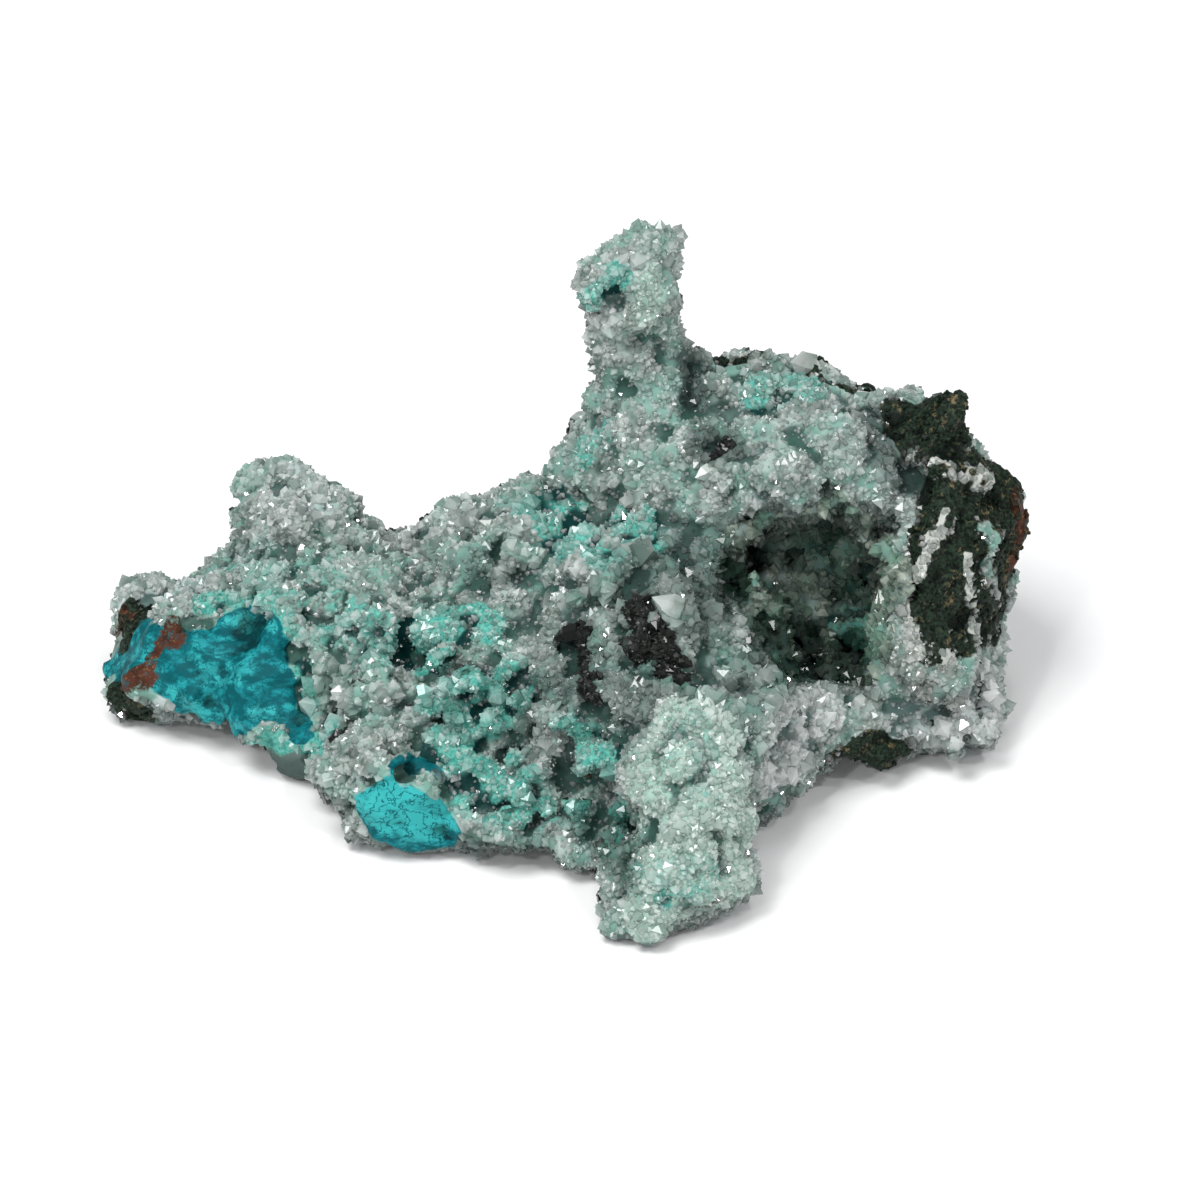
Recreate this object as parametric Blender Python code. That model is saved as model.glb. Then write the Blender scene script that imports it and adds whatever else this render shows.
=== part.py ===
"""A chrysocolla specimen, about 94 mm long: chrysocolla and drusy quartz grown on dark host rock.

The rock is a mound with a thin spire, a hollow in its right half and a low ledge at its left end.
It lies on its own rough underside. The crust of quartz crystals in the hollow is a second solid.
"""

import math
import random

import bmesh
import bpy
from mathutils import Vector, noise
from mathutils.bvhtree import BVHTree

MM = 0.001

# The specimen is described as it is seen from the front, from this far above the table.
SIGHT_ANGLE = math.radians(35.0)
TO_VIEWER = Vector((0.0, -math.cos(SIGHT_ANGLE), math.sin(SIGHT_ANGLE)))

# Sizes in millimetres.
FULL_LENGTH = 94.2
VOXEL = 0.9
GAP = 0.3
CRUST_THICKNESS = 1.1
CRYSTAL_HEIGHT = 1.0
HOLLOW_LUMPS = 1.6
UNDERSIDE_SINK = 0.6
ARCH_HEIGHT = 3.0
FOOT_RADIUS = 5.0
FLOOR_BLOCK = 150.0

BODY_TRIANGLES = 5750
HOLLOW_TRIANGLES = 700
CRYSTAL_TRIANGLES = 1300

# Stands for the depth of a ball that rests on the table.
RESTS = None

# Each chunk is the hull of some balls: across, up and back in mm, and the ball's radius.
# Across is from the left side of the foot, up is along the sight plane, back is level.
CHUNKS = {
    "left ledge": [
        (-47.2, 28.8, RESTS, 3.0), (-45.0, 32.5, 50, 3.6), (-42.0, 33.8, 52, 4.0),
        (-45.0, 25.5, RESTS, 3.6), (-41.0, 24.4, RESTS, 4.2), (-36.0, 25.0, RESTS, 5.0),
        (-37.5, 34.6, 53, 4.0), (-38.0, 30.0, 41, 6.0),
    ],
    "ledge root": [
        (-37.5, 34.6, 53, 4.0), (-36.0, 25.0, RESTS, 5.0), (-32.0, 26.0, 36, 6.0),
        (-31.5, 32.0, 44, 6.5), (-33.5, 36.0, 53, 4.2),
    ],
    "left hump": [
        (-33.8, 41.8, 57, 3.2), (-30.0, 42.0, 52, 4.6), (-26.5, 41.7, 56, 3.3),
        (-33.5, 37.0, 54, 4.0), (-26.0, 36.0, 50, 6.0), (-28.0, 36.5, 58, 4.0),
    ],
    "left hump top": [(-30.9, 46.1, 57, 2.8), (-30.5, 41.0, 55, 4.4)],
    "left slope": [
        (-32.0, 25.4, 36, 5.5), (-29.0, 21.0, RESTS, 3.8), (-25.0, 19.2, RESTS, 3.8),
        (-30.0, 31.5, 42, 8.0), (-20.0, 29.0, 36, 8.0), (-24.0, 36.5, 50, 6.0),
    ],
    "saddle": [
        (-22.5, 38.3, 54, 3.5), (-18.5, 36.1, 55, 3.5), (-14.5, 38.3, 54, 4.1),
        (-22.0, 32.5, 46, 6.0), (-13.0, 32.5, 44, 7.0), (-17.0, 34.0, 58, 4.0),
    ],
    "blue lobe": [
        (-20.0, 13.3, RESTS, 4.1), (-22.4, 15.2, RESTS, 3.0), (-17.2, 12.4, RESTS, 3.4),
        (-20.0, 17.6, 19, 5.0), (-22.0, 20.0, 26, 4.0),
    ],
    "lower left slope": [
        (-22.0, 20.0, 26, 5.0), (-16.0, 14.6, 20, 5.0), (-12.0, 12.8, RESTS, 3.8),
        (-20.0, 26.0, 32, 7.0), (-10.0, 24.0, 28, 8.5), (-14.0, 30.0, 38, 8.0),
    ],
    "lower middle": [
        (-12.0, 12.6, RESTS, 3.8), (-7.5, 12.1, RESTS, 3.7), (-3.4, 11.6, RESTS, 3.7),
        (-6.0, 18.0, 20, 6.5), (0.0, 17.5, 20, 6.0), (-5.0, 26.0, 30, 8.5),
    ],
    "middle slope": [
        (-12.0, 24.0, 30, 8.0), (0.0, 21.0, 22, 7.0), (-10.0, 37.0, 45, 8.0),
        (0.0, 36.0, 42, 8.0), (2.0, 31.0, 34, 8.0), (-4.0, 36.0, 56, 6.0),
    ],
    "middle hump": [
        (-12.2, 41.8, 54, 3.9), (-8.6, 43.7, 54, 3.7), (-4.9, 43.7, 54, 3.6),
        (-9.0, 36.5, 43, 6.5), (-2.0, 39.5, 46, 6.5), (-9.0, 36.5, 58, 4.0),
    ],
    "step under spire": [
        (-4.0, 42.6, 53, 4.2), (2.0, 43.6, 52, 4.5), (7.0, 44.0, 49, 6.0),
        (0.0, 39.0, 46, 6.0), (7.0, 37.0, 39, 7.0), (2.0, 38.0, 59, 5.0),
    ],
    "smoky ridge": [
        (0.5, 31.0, 31, 5.0), (2.5, 36.0, 36, 5.5), (4.0, 26.5, 26, 6.0),
        (8.0, 31.0, 31, 6.0), (5.0, 31.0, 40, 7.0),
    ],
    "middle mound": [
        (4.0, 23.0, 22, 7.5), (9.0, 26.5, 26, 7.0), (10.0, 33.0, 36, 6.5),
        (14.0, 28.0, 30, 4.5), (5.0, 24.0, 32, 8.0),
    ],
    "bubbly knob": [(16.2, 27.4, 27, 3.4), (13.0, 24.0, 24, 5.0), (17.0, 24.0, 30, 4.0)],
    "pale lump": [
        (8.2, 20.0, 15, 5.2), (11.2, 21.4, 17, 5.2), (7.2, 14.6, 10, 4.2),
        (10.5, 13.5, 10, 4.0), (9.0, 20.0, 24, 6.0),
    ],
    "crevice shoulder": [(3.0, 13.5, 11, 3.2), (2.0, 19.0, 18, 5.0), (6.0, 14.0, 14, 4.5)],
    "foot": [
        (6.0, 3.0, RESTS, 3.0), (2.5, 6.1, RESTS, 3.2), (3.2, 9.6, 8, 3.4),
        (8.0, 9.5, 6.5, 4.2), (9.5, 5.2, RESTS, 2.7),
    ],
    "foot right": [
        (13.0, 6.3, RESTS, 3.2), (9.5, 4.9, RESTS, 2.7), (8.0, 9.5, 6.5, 4.2),
        (11.5, 11.5, 11, 3.4),
    ],
    "right slope": [
        (12.0, 12.0, RESTS, 3.0), (14.3, 15.2, RESTS, 3.7), (18.0, 18.3, RESTS, 3.6),
        (10.0, 16.0, 16, 5.0), (14.0, 21.0, 23, 5.0), (19.0, 22.5, 28, 4.0),
    ],
    "lip": [
        (18.0, 18.4, RESTS, 3.6), (21.5, 20.8, RESTS, 3.8), (26.0, 21.5, RESTS, 3.4),
        (29.5, 21.8, RESTS, 3.4), (18.0, 25.0, 31, 3.2), (26.0, 26.0, 35, 3.0),
        (33.5, 21.8, RESTS, 3.6),
    ],
    "hollow floor": [
        (18.0, 26.0, 36, 3.6), (32.0, 26.0, 37, 4.0), (15.0, 37.5, 60, 4.0),
        (32.0, 36.5, 58, 4.0),
    ],
    "rock round the hollow": [
        (15.0, 44.0, 46, 3.0), (23.0, 45.0, 46, 3.2), (30.0, 42.0, 45, 3.0),
        (31.0, 32.0, 40, 3.2), (26.5, 28.0, 37, 3.0), (18.0, 27.5, 34, 3.0),
        (14.0, 33.0, 38, 3.0), (15.0, 42.0, 57, 4.0), (24.0, 41.0, 58, 4.0),
        (31.0, 37.0, 56, 4.0), (20.0, 29.0, 48, 5.0),
    ],
    "hollow left wall": [
        (9.0, 45.0, 46, 5.0), (10.5, 38.5, 39, 4.6), (12.0, 32.5, 34, 4.4),
        (12.0, 29.0, 36, 5.0), (9.0, 38.5, 60, 4.5), (8.0, 41.0, 52, 6.0),
    ],
    "hollow rear wall": [
        (12.0, 56.3, 57, 3.6), (15.5, 56.4, 58, 3.8), (19.0, 56.3, 58, 3.7),
        (21.5, 54.8, 58, 3.6), (12.0, 38.0, 60, 4.5), (24.0, 37.5, 60, 4.5),
    ],
    "hollow rear right": [
        (21.5, 54.8, 58, 3.5), (24.5, 52.9, 57, 3.6), (28.0, 51.7, 56, 3.6),
        (31.2, 51.6, 54, 3.3), (20.0, 37.5, 60, 4.5), (33.0, 37.0, 57, 4.5),
        (36.0, 42.0, 52, 4.0),
    ],
    "roof": [
        (12.0, 56.3, 56, 3.6), (19.0, 56.3, 57, 3.7), (24.5, 52.9, 56, 3.6),
        (11.0, 48.5, 46, 4.6), (17.0, 48.0, 44, 3.6), (24.5, 48.4, 45, 3.6),
    ],
    "roof right": [
        (24.5, 52.9, 56, 3.6), (31.2, 51.6, 53, 3.3), (22.5, 48.6, 44, 3.6),
        (29.5, 46.5, 45, 3.4), (33.0, 47.0, 47, 3.6),
    ],
    "roof left": [
        (5.0, 50.0, 52, 4.6), (9.0, 53.0, 54, 4.4), (12.0, 56.0, 56, 3.6),
        (5.5, 46.0, 47, 5.0), (11.0, 46.5, 45, 4.6), (6.0, 44.0, 58, 5.0),
    ],
    "spire foot": [
        (0.0, 50.3, 54, 3.2), (5.0, 50.0, 50, 4.6), (-0.5, 46.0, 52, 4.0),
        (6.0, 58.5, 54, 3.6), (3.2, 57.4, 54, 2.8), (8.5, 56.0, 54, 3.4), (4.0, 46.0, 57, 4.5),
    ],
    "spire middle": [
        (3.0, 58.0, 53.0, 2.9), (6.8, 58.8, 55.5, 3.3), (2.2, 61.6, 52.5, 3.2),
        (5.4, 62.4, 56.0, 3.0), (1.2, 64.8, 53.0, 3.1),
    ],
    "spire top": [
        (1.0, 65.2, 53.0, 3.0), (5.0, 66.0, 55.5, 2.8), (2.4, 67.7, 54.0, 2.7),
        (5.5, 69.2, 55.5, 2.4), (7.4, 71.3, 55.0, 0.9), (5.4, 62.4, 56.0, 2.8),
    ],
    "horn": [
        (33.8, 53.4, 51, 2.6), (35.4, 55.4, 50, 1.5), (35.0, 51.0, 49, 2.8),
        (31.0, 51.0, 53, 3.4), (34.5, 46.0, 49, 3.8), (33.0, 44.0, 52, 4.0),
    ],
    "dark block": [
        (33.5, 44.5, 42, 3.8), (36.5, 46.6, 48, 3.0), (40.4, 46.8, 48, 2.2),
        (40.0, 44.0, 47, 3.8), (39.0, 40.0, 45, 4.2), (33.8, 38.0, 38, 4.2),
        (37.5, 36.0, 43, 4.0), (34.0, 40.0, 53, 4.5),
    ],
    "dark block root": [
        (37.5, 36.0, 43, 4.0), (33.8, 38.0, 38, 4.2), (36.0, 32.0, 40, 4.2),
        (32.8, 31.5, 35, 4.2), (35.4, 28.2, 37, 3.8), (34.0, 35.0, 53, 4.5),
    ],
    "right foot": [
        (37.0, 22.4, RESTS, 3.9), (38.4, 22.1, 38.5, 3.0), (33.5, 21.8, RESTS, 3.6),
        (35.2, 28.2, 37, 3.8), (32.0, 28.0, 35, 3.6), (38.0, 25.6, 38, 3.0),
    ],
    "rear left": [
        (-35.0, 33.5, 54, 4.0), (-28.0, 36.5, 58, 4.0), (-15.0, 36.2, 59, 4.0),
        (-30.0, 29.0, 42, 6.0), (-10.0, 30.0, 44, 7.0),
    ],
    "rear middle": [
        (-17.0, 36.0, 59, 4.0), (2.0, 37.5, 61, 4.5), (14.0, 37.5, 61, 4.5),
        (-8.0, 28.0, 38, 7.0), (10.0, 28.0, 38, 7.0),
    ],
    "underside": [
        (-30.0, 25.0, 38, 5.0), (-14.0, 17.0, 22, 5.0), (4.0, 14.0, 14, 5.0),
        (14.0, 20.0, 26, 5.0), (30.0, 28.0, 40, 5.0), (20.0, 34.0, 52, 5.0),
        (-20.0, 33.0, 52, 5.0),
    ],
}

# The hollow in the right half, in chambers that run out of its mouth, each the hull of its balls.
HOLLOW_CHAMBERS = [
    [(15.8, 38.6, 38, 4.6), (15.9, 39.8, 49, 4.7), (22.5, 40.2, 50, 6.2), (23.0, 39.5, 36, 6.3)],
    [(22.5, 40.2, 50, 6.2), (23.0, 39.5, 36, 6.3), (26.2, 36.8, 48.5, 5.6), (26.4, 36.6, 34, 5.6)],
    [(26.2, 36.8, 48.5, 5.6), (26.4, 36.6, 34, 5.6), (20.8, 32.6, 43, 5.6), (21.4, 32.4, 30, 5.8)],
    [(25.6, 31.4, 41.5, 4.8), (26.2, 31.4, 31, 4.8), (20.8, 32.6, 43, 5.6), (26.4, 36.8, 37, 5.2)],
]

# Pits in the face: across, up, radius and depth in mm, sunk along the line of sight.
PITS = [
    (-18.0, 29.5, 2.8, 6.0), (-13.2, 31.2, 2.4, 3.5), (-8.0, 20.3, 3.2, 4.0),
    (-2.8, 17.4, 2.6, 6.0), (1.8, 14.4, 3.0, 7.0), (-18.4, 18.8, 2.2, 3.5),
    (-11.0, 15.0, 2.2, 2.5), (-4.0, 9.6, 2.6, 4.0), (-3.2, 28.6, 2.4, 4.5),
    (-6.4, 34.4, 2.2, 3.5), (5.4, 31.2, 3.0, 2.4), (17.0, 56.0, 2.6, 2.0),
    (11.0, 11.8, 2.0, 2.6), (-1.4, 25.2, 2.0, 3.0), (-25.6, 25.6, 2.2, 2.2),
    (2.2, 66.4, 1.5, 1.6), (-29.0, 37.0, 2.4, 1.6), (-12.0, 35.8, 2.6, 2.4),
    (31.0, 46.0, 2.4, 2.2), (8.6, 59.0, 2.2, 1.2),
]

# Groups of larger crystals: across, up, how far they spread, how many, and their radius in mm.
CRYSTAL_GROUPS = [
    (6.2, 31.2, 2.9, 14, 1.35), (16.4, 27.2, 2.0, 9, 1.2), (-25.2, 21.9, 1.2, 5, 0.9),
]
SPIRAL_TURN = 2.4

# Where the underside comes down to the table: across and back.
FEET = [
    (-42.0, 46.0), (-27.0, 54.0), (-24.0, 30.0), (-14.0, 21.0), (6.0, 7.0), (12.0, 22.0),
    (21.0, 42.0), (36.0, 40.0), (2.0, 58.0), (24.0, 58.0),
]


def place(across, up, back):
    """The place of a point seen across and up the sight plane, at that distance back, all in mm."""
    height = up / math.cos(SIGHT_ANGLE) - back * math.tan(SIGHT_ANGLE)
    return Vector((across, back, height)) * MM


def sight_plane(point):
    """How far across and up the sight plane a place in metres is seen, in mm."""
    up = point.y * math.sin(SIGHT_ANGLE) + point.z * math.cos(SIGHT_ANGLE)
    return point.x / MM, up / MM


def arch(point):
    """How high the underside stands off the table here, in mm: low round its feet, higher between."""
    nearest = min(math.hypot(point.x / MM - x, point.y / MM - y) for x, y in FEET)
    rise = min(1.0, max(0.0, nearest - FOOT_RADIUS) / FOOT_RADIUS)
    return ARCH_HEIGHT * rise + 1.2 * noise.noise(point / (4.0 * MM))


def ball(across, up, back, radius):
    """A ball's centre and radius in metres. One with no depth rests in the table's surface."""
    if back is RESTS:
        height = radius - UNDERSIDE_SINK
        back = (up / math.cos(SIGHT_ANGLE) - height) / math.tan(SIGHT_ANGLE)
    return place(across, up, back), radius * MM


def new_object(name, mesh, hidden=False):
    made = bpy.data.objects.new(name, mesh)
    bpy.context.scene.collection.objects.link(made)
    made.hide_render = hidden
    if hidden:
        made.display_type = "WIRE"
    return made


def collect(mesh_data, work):
    """Adds a worked shape to the lists of points and faces."""
    points, faces = mesh_data
    first = len(points)
    work.verts.index_update()
    points.extend(v.co.copy() for v in work.verts)
    faces.extend([first + v.index for v in f.verts] for f in work.faces)
    work.free()


def add_hull(mesh_data, balls):
    """Adds the convex hull of these balls."""
    work = bmesh.new()
    for centre, radius in balls:
        first = len(work.verts)
        bmesh.ops.create_icosphere(work, subdivisions=2, radius=radius)
        work.verts.ensure_lookup_table()
        bmesh.ops.translate(work, verts=work.verts[first:], vec=centre)
    bmesh.ops.delete(work, geom=work.edges[:], context="EDGES_FACES")
    hull = bmesh.ops.convex_hull(work, input=work.verts[:])
    inner = [g for g in hull["geom_interior"] if isinstance(g, bmesh.types.BMVert)]
    bmesh.ops.delete(work, geom=inner, context="VERTS")
    bmesh.ops.recalc_face_normals(work, faces=work.faces[:])
    collect(mesh_data, work)


def mesh_of(name, mesh_data):
    made = bpy.data.meshes.new(name)
    made.from_pydata(mesh_data[0], [], mesh_data[1])
    made.validate()
    return made


def settle(obj):
    """Turns an object's modifiers into its mesh."""
    bpy.context.view_layer.update()
    graph = bpy.context.evaluated_depsgraph_get()
    finished = bpy.data.meshes.new_from_object(obj.evaluated_get(graph))
    obj.modifiers.clear()
    obj.data = finished


def remesh(obj, voxel):
    fuse = obj.modifiers.new("Fuse", "REMESH")
    fuse.mode = "VOXEL"
    fuse.voxel_size = voxel * MM
    settle(obj)


def thin_out(obj, triangles):
    """Brings a mesh down to about this many triangles."""
    obj.data.calc_loop_triangles()
    decimate = obj.modifiers.new("Thin out", "DECIMATE")
    decimate.ratio = triangles / len(obj.data.loop_triangles)
    decimate.use_collapse_triangulate = True
    settle(obj)


def cut(obj, cutter, operation="DIFFERENCE"):
    boolean = obj.modifiers.new("Cut by " + cutter.name, "BOOLEAN")
    boolean.operation = operation
    boolean.object = cutter
    boolean.solver = "EXACT"


def cell_bump(point, cell):
    """A rounded lump in each cell, from 1 in its middle to about 0 in the groove round it."""
    nearest = noise.voronoi(point / (cell * MM))[0][0]
    return 1.0 - min(1.0, nearest / 0.75) ** 2


def rough_height(point):
    """How far the rock's surface stands out here, in mm: druse lumps and broken ledges."""
    lumps = 1.3 * cell_bump(point, 6.0) + 0.8 * cell_bump(point + Vector((1, 2, 3)), 3.4)
    broken = 0.9 * noise.fractal(point / (7.0 * MM), 0.8, 2.1, 3)
    return lumps - 0.9 + broken


def pit_depth(across, up):
    depth = 0.0
    for pit_across, pit_up, radius, deepest in PITS:
        away = math.hypot(across - pit_across, up - pit_up) / (radius * 1.25)
        if away < 1.0:
            depth = max(depth, deepest * (1.0 - away * away) ** 1.5)
    return depth


def roughen(obj):
    """Gives the fused chunks their lumps, ledges and pits."""
    normals = [v.normal.copy() for v in obj.data.vertices]
    for vertex, normal in zip(obj.data.vertices, normals):
        point = vertex.co.copy()
        vertex.co = point + normal * rough_height(point) * MM
        if normal.z < -0.2:
            vertex.co.z += arch(point) * min(1.0, -1.5 * normal.z) * MM
        facing = normal.dot(TO_VIEWER)
        if facing > 0.1:
            vertex.co -= TO_VIEWER * pit_depth(*sight_plane(point)) * min(1.0, facing * 2.5) * MM


def rock():
    """The whole rock, before the hollow is cut."""
    data = ([], [])
    for balls in CHUNKS.values():
        add_hull(data, [ball(*numbers) for numbers in balls])
    obj = new_object("specimen_body", mesh_of("specimen_body", data))
    remesh(obj, VOXEL)
    roughen(obj)
    remesh(obj, VOXEL)
    thin_out(obj, BODY_TRIANGLES)
    return obj


def add_crystal(mesh_data, foot, axis, radius, height):
    """Adds a six-sided quartz crystal with a pointed end, which stands on its foot along the axis."""
    turned = axis.to_track_quat("Z", "Y")
    work = bmesh.new()
    for corner in range(6):
        angle = math.radians(60.0 * corner)
        flat = Vector((math.cos(angle), math.sin(angle), 0.0)) * radius
        for level in (0.0, height - radius):
            work.verts.new(foot + turned @ (flat + Vector((0.0, 0.0, level))))
    work.verts.new(foot + axis * height)
    bmesh.ops.convex_hull(work, input=work.verts[:])
    bmesh.ops.recalc_face_normals(work, faces=work.faces[:])
    collect(mesh_data, work)


def grow_crystals(body):
    """Stands the groups of larger crystals on the rock and joins them to it."""
    surface = BVHTree.FromObject(body, bpy.context.evaluated_depsgraph_get())
    chance = random.Random(11)
    data = ([], [])
    for across, up, spread, count, radius in CRYSTAL_GROUPS:
        for number in range(count):
            turn = SPIRAL_TURN * number
            away = spread * math.sqrt((number + 0.5) / count)
            seen = place(across + away * math.cos(turn), up + away * math.sin(turn), 0.0)
            foot, normal, _, _ = surface.ray_cast(seen, -TO_VIEWER)
            lean = Vector([chance.uniform(-0.45, 0.45) for _ in range(3)])
            axis = (normal + lean).normalized()
            size = radius * chance.uniform(0.75, 1.15) * MM
            add_crystal(data, foot - axis * size, axis, size, size * chance.uniform(2.6, 3.4))
    crystals = new_object("crystals", mesh_of("crystals", data), hidden=True)
    cut(body, crystals, "UNION")
    body.modifiers[-1].use_self = True
    settle(body)
    bpy.data.objects.remove(crystals)


def hollow_cutter():
    """A solid the shape of the hollow, which runs out of its mouth."""
    data = ([], [])
    for balls in HOLLOW_CHAMBERS:
        add_hull(data, [ball(*numbers) for numbers in balls])
    obj = new_object("hollow_cutter", mesh_of("hollow_cutter", data), hidden=True)
    remesh(obj, VOXEL)
    draw_in(obj, [HOLLOW_LUMPS * (cell_bump(v.co, 5.0) - 0.5) for v in obj.data.vertices])
    remesh(obj, VOXEL)
    thin_out(obj, HOLLOW_TRIANGLES)
    return obj


def draw_in(obj, distances):
    """Moves each point of a mesh inwards by its distance in mm."""
    normals = [v.normal.copy() for v in obj.data.vertices]
    for vertex, normal, distance in zip(obj.data.vertices, normals, distances):
        vertex.co -= normal * distance * MM


def drawn_in_copy(obj, name, distance):
    copy = new_object(name, obj.data.copy(), hidden=True)
    draw_in(copy, [distance] * len(copy.data.vertices))
    return copy


def crystal_space(hollow):
    """The open space left inside the crust, with the flat faces of the crystals as its walls."""
    space = drawn_in_copy(hollow, "crystal_space", GAP + CRUST_THICKNESS)
    remesh(space, VOXEL)
    thin_out(space, CRYSTAL_TRIANGLES)
    chance = random.Random(7)
    draw_in(space, [chance.random() * CRYSTAL_HEIGHT for _ in space.data.vertices])
    return space


def keep_largest_piece(obj):
    """Leaves out the crumbs that a cut makes where two rough surfaces only just meet."""
    work = bmesh.new()
    work.from_mesh(obj.data)
    pieces = []
    unseen = set(work.verts)
    while unseen:
        piece, edge = set(), [unseen.pop()]
        while edge:
            vert = edge.pop()
            piece.add(vert)
            fresh = {e.other_vert(vert) for e in vert.link_edges} & unseen
            unseen -= fresh
            edge.extend(fresh)
        pieces.append(piece)
    pieces.sort(key=len)
    crumbs = [vert for piece in pieces[:-1] for vert in piece]
    bmesh.ops.delete(work, geom=crumbs, context="VERTS")
    work.to_mesh(obj.data)
    work.free()


def table_block():
    """A block under the table's surface, which cuts the underside flat where it would go below."""
    bpy.ops.mesh.primitive_cube_add(size=FLOOR_BLOCK * MM, location=(0, 0, -FLOOR_BLOCK * MM / 2))
    block = bpy.context.object
    block.name = "table_block"
    block.hide_render = True
    block.display_type = "WIRE"
    return block


def material(name, colour, roughness):
    made = bpy.data.materials.new(name)
    made.use_nodes = True
    shader = made.node_tree.nodes["Principled BSDF"]
    shader.inputs["Base Color"].default_value = (*colour, 1.0)
    shader.inputs["Roughness"].default_value = roughness
    shader.inputs["Metallic"].default_value = 0.0
    return made


def centre_on_table(objects):
    """Brings everything to its full length, with the origin under the middle of the box."""
    corners = [o.matrix_world @ Vector(c) for o in objects for c in o.bound_box]
    low = [min(c[axis] for c in corners) for axis in range(3)]
    high = [max(c[axis] for c in corners) for axis in range(3)]
    shift = Vector(((low[0] + high[0]) / 2, (low[1] + high[1]) / 2, low[2]))
    size = FULL_LENGTH * MM / (high[0] - low[0])
    for obj in objects:
        for vertex in obj.data.vertices:
            vertex.co = (vertex.co - shift) * size


def main():
    for obj in list(bpy.data.objects):
        bpy.data.objects.remove(obj)

    body = rock()
    crust = new_object("hollow_crystal_crust", body.data.copy())
    grow_crystals(body)
    hollow = hollow_cutter()
    crust_outside = drawn_in_copy(hollow, "crust_outside", GAP * 1.2)
    space = crystal_space(hollow)
    table = table_block()

    cut(body, hollow)
    cut(body, table)
    settle(body)
    cut(crust, crust_outside, "INTERSECT")
    cut(crust, space)
    settle(crust)
    keep_largest_piece(crust)
    for cutter in (hollow, crust_outside, space, table):
        bpy.data.objects.remove(cutter)

    centre_on_table([body, crust])
    body.data.materials.append(material("quartz_on_chrysocolla", (0.27, 0.42, 0.38), 0.55))
    crust.data.materials.append(material("hollow_quartz", (0.20, 0.24, 0.21), 0.35))


main()
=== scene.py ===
"""Chrysocolla mineral specimen: the rock, its quartz druse, the crystal-lined hollow and a plain studio stage."""
import math

import bpy
import numpy as np
from bpy.props import FloatProperty, FloatVectorProperty, IntProperty, PointerProperty
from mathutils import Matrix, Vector, noise
from mathutils.bvhtree import BVHTree


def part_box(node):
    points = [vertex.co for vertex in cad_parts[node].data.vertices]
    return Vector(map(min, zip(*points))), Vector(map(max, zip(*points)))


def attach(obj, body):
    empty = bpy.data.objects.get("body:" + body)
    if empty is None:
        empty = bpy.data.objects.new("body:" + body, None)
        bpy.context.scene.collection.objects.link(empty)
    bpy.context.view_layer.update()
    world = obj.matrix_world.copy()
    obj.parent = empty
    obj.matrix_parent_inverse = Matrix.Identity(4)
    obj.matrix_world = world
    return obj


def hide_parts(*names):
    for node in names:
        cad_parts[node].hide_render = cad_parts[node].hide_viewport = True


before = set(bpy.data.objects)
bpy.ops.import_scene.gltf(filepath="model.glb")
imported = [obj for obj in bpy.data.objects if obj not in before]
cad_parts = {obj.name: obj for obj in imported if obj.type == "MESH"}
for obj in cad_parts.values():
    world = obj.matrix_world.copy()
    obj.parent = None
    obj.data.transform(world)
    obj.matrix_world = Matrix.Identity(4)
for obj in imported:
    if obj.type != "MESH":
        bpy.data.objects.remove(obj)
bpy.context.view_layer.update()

bl_info = {
    "name": "Chrysocolla specimen",
    "version": (1, 0, 0),
    "blender": (4, 5, 0),
    "location": "3D View > Sidebar > Specimen",
    "description": "Dresses a rock with chrysocolla, quartz druse and host rock",
    "category": "Object",
}

MM = 0.001
# The front view: places on it are read in tenths of a millimetre, across from
# the left and down from the top, looking down at the specimen at 35 degrees.
TENTH = 0.0001
SIGHT_ANGLE = math.radians(35)
TO_VIEWER = Vector((0, -math.cos(SIGHT_ANGLE), math.sin(SIGHT_ANGLE)))
SIGHT_UP = Vector((0, math.sin(SIGHT_ANGLE), math.cos(SIGHT_ANGLE)))
LEFT_END = 98
LOWEST_POINT = 950
VIEW_MIDDLE = (600, 600)
VIEW_WIDTH = 120 * MM
SIGHT_START = 0.3
SIGHT_LENGTH = 0.6
LINE_STEP = 12

RANDOM_SEEDS = {"rock": 11, "hollow_crust": 23, "druse": 37, "hollow_points": 41, "host_grains": 53}
# Remesh grids: the bare rock, the joined rock, the cut shapes and the crust.
BARE_GRID = 0.6 * MM
JOINED_GRID = 0.5 * MM
CUT_GRID = 0.45 * MM
CRUST_GRID = 0.4 * MM
# No scattered pits this near the hollow's middle or the table.
PITS_FROM_HOLLOW = 0.021
PITS_FROM_TABLE = 0.004
# No points below the first height above the table, and all above the second.
POINTS_FROM_TABLE = (0.0006, 0.0016)
VEIN_LUMPS = 3
MOUTH_STEPS = 6
MOUTH_STEP = 1.3
CRUST_KNOBS = 900
HOST_GRAINS = 6000
HOST_GRAIN_WIDTH = 0.29 * MM
BLACK_POINTS = 1700
BLACK_POINT_WIDTH = 0.5 * MM
# The druse is split into pieces at these places along X.
DRUSE_BORDERS = (-1.0, -0.024, -0.008, 0.006, 0.022, 1.0)
# Quartz points: (sides, share of the height with straight sides, lean of the tip).
POINT_FORMS = ((6, 0.5, 0.05), (6, 0.35, 0.12), (5, 0.45, 0.1), (4, 0.5, 0.1))
BLACK_FORMS = ((6, 0.5, 0.05), (5, 0.4, 0.1))
QUARTZ_IOR = 1.54
WHITE = (1, 1, 1, 1)
# The shares that the materials read: the minerals, and others that only
# lighten, mark the pits of the surface or stand for painted shade.
MINERALS = ("blue", "bright", "teal", "pale", "haze", "smoky", "painted_shade", "dark", "rust", "vein", "black", "cavity")

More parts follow.
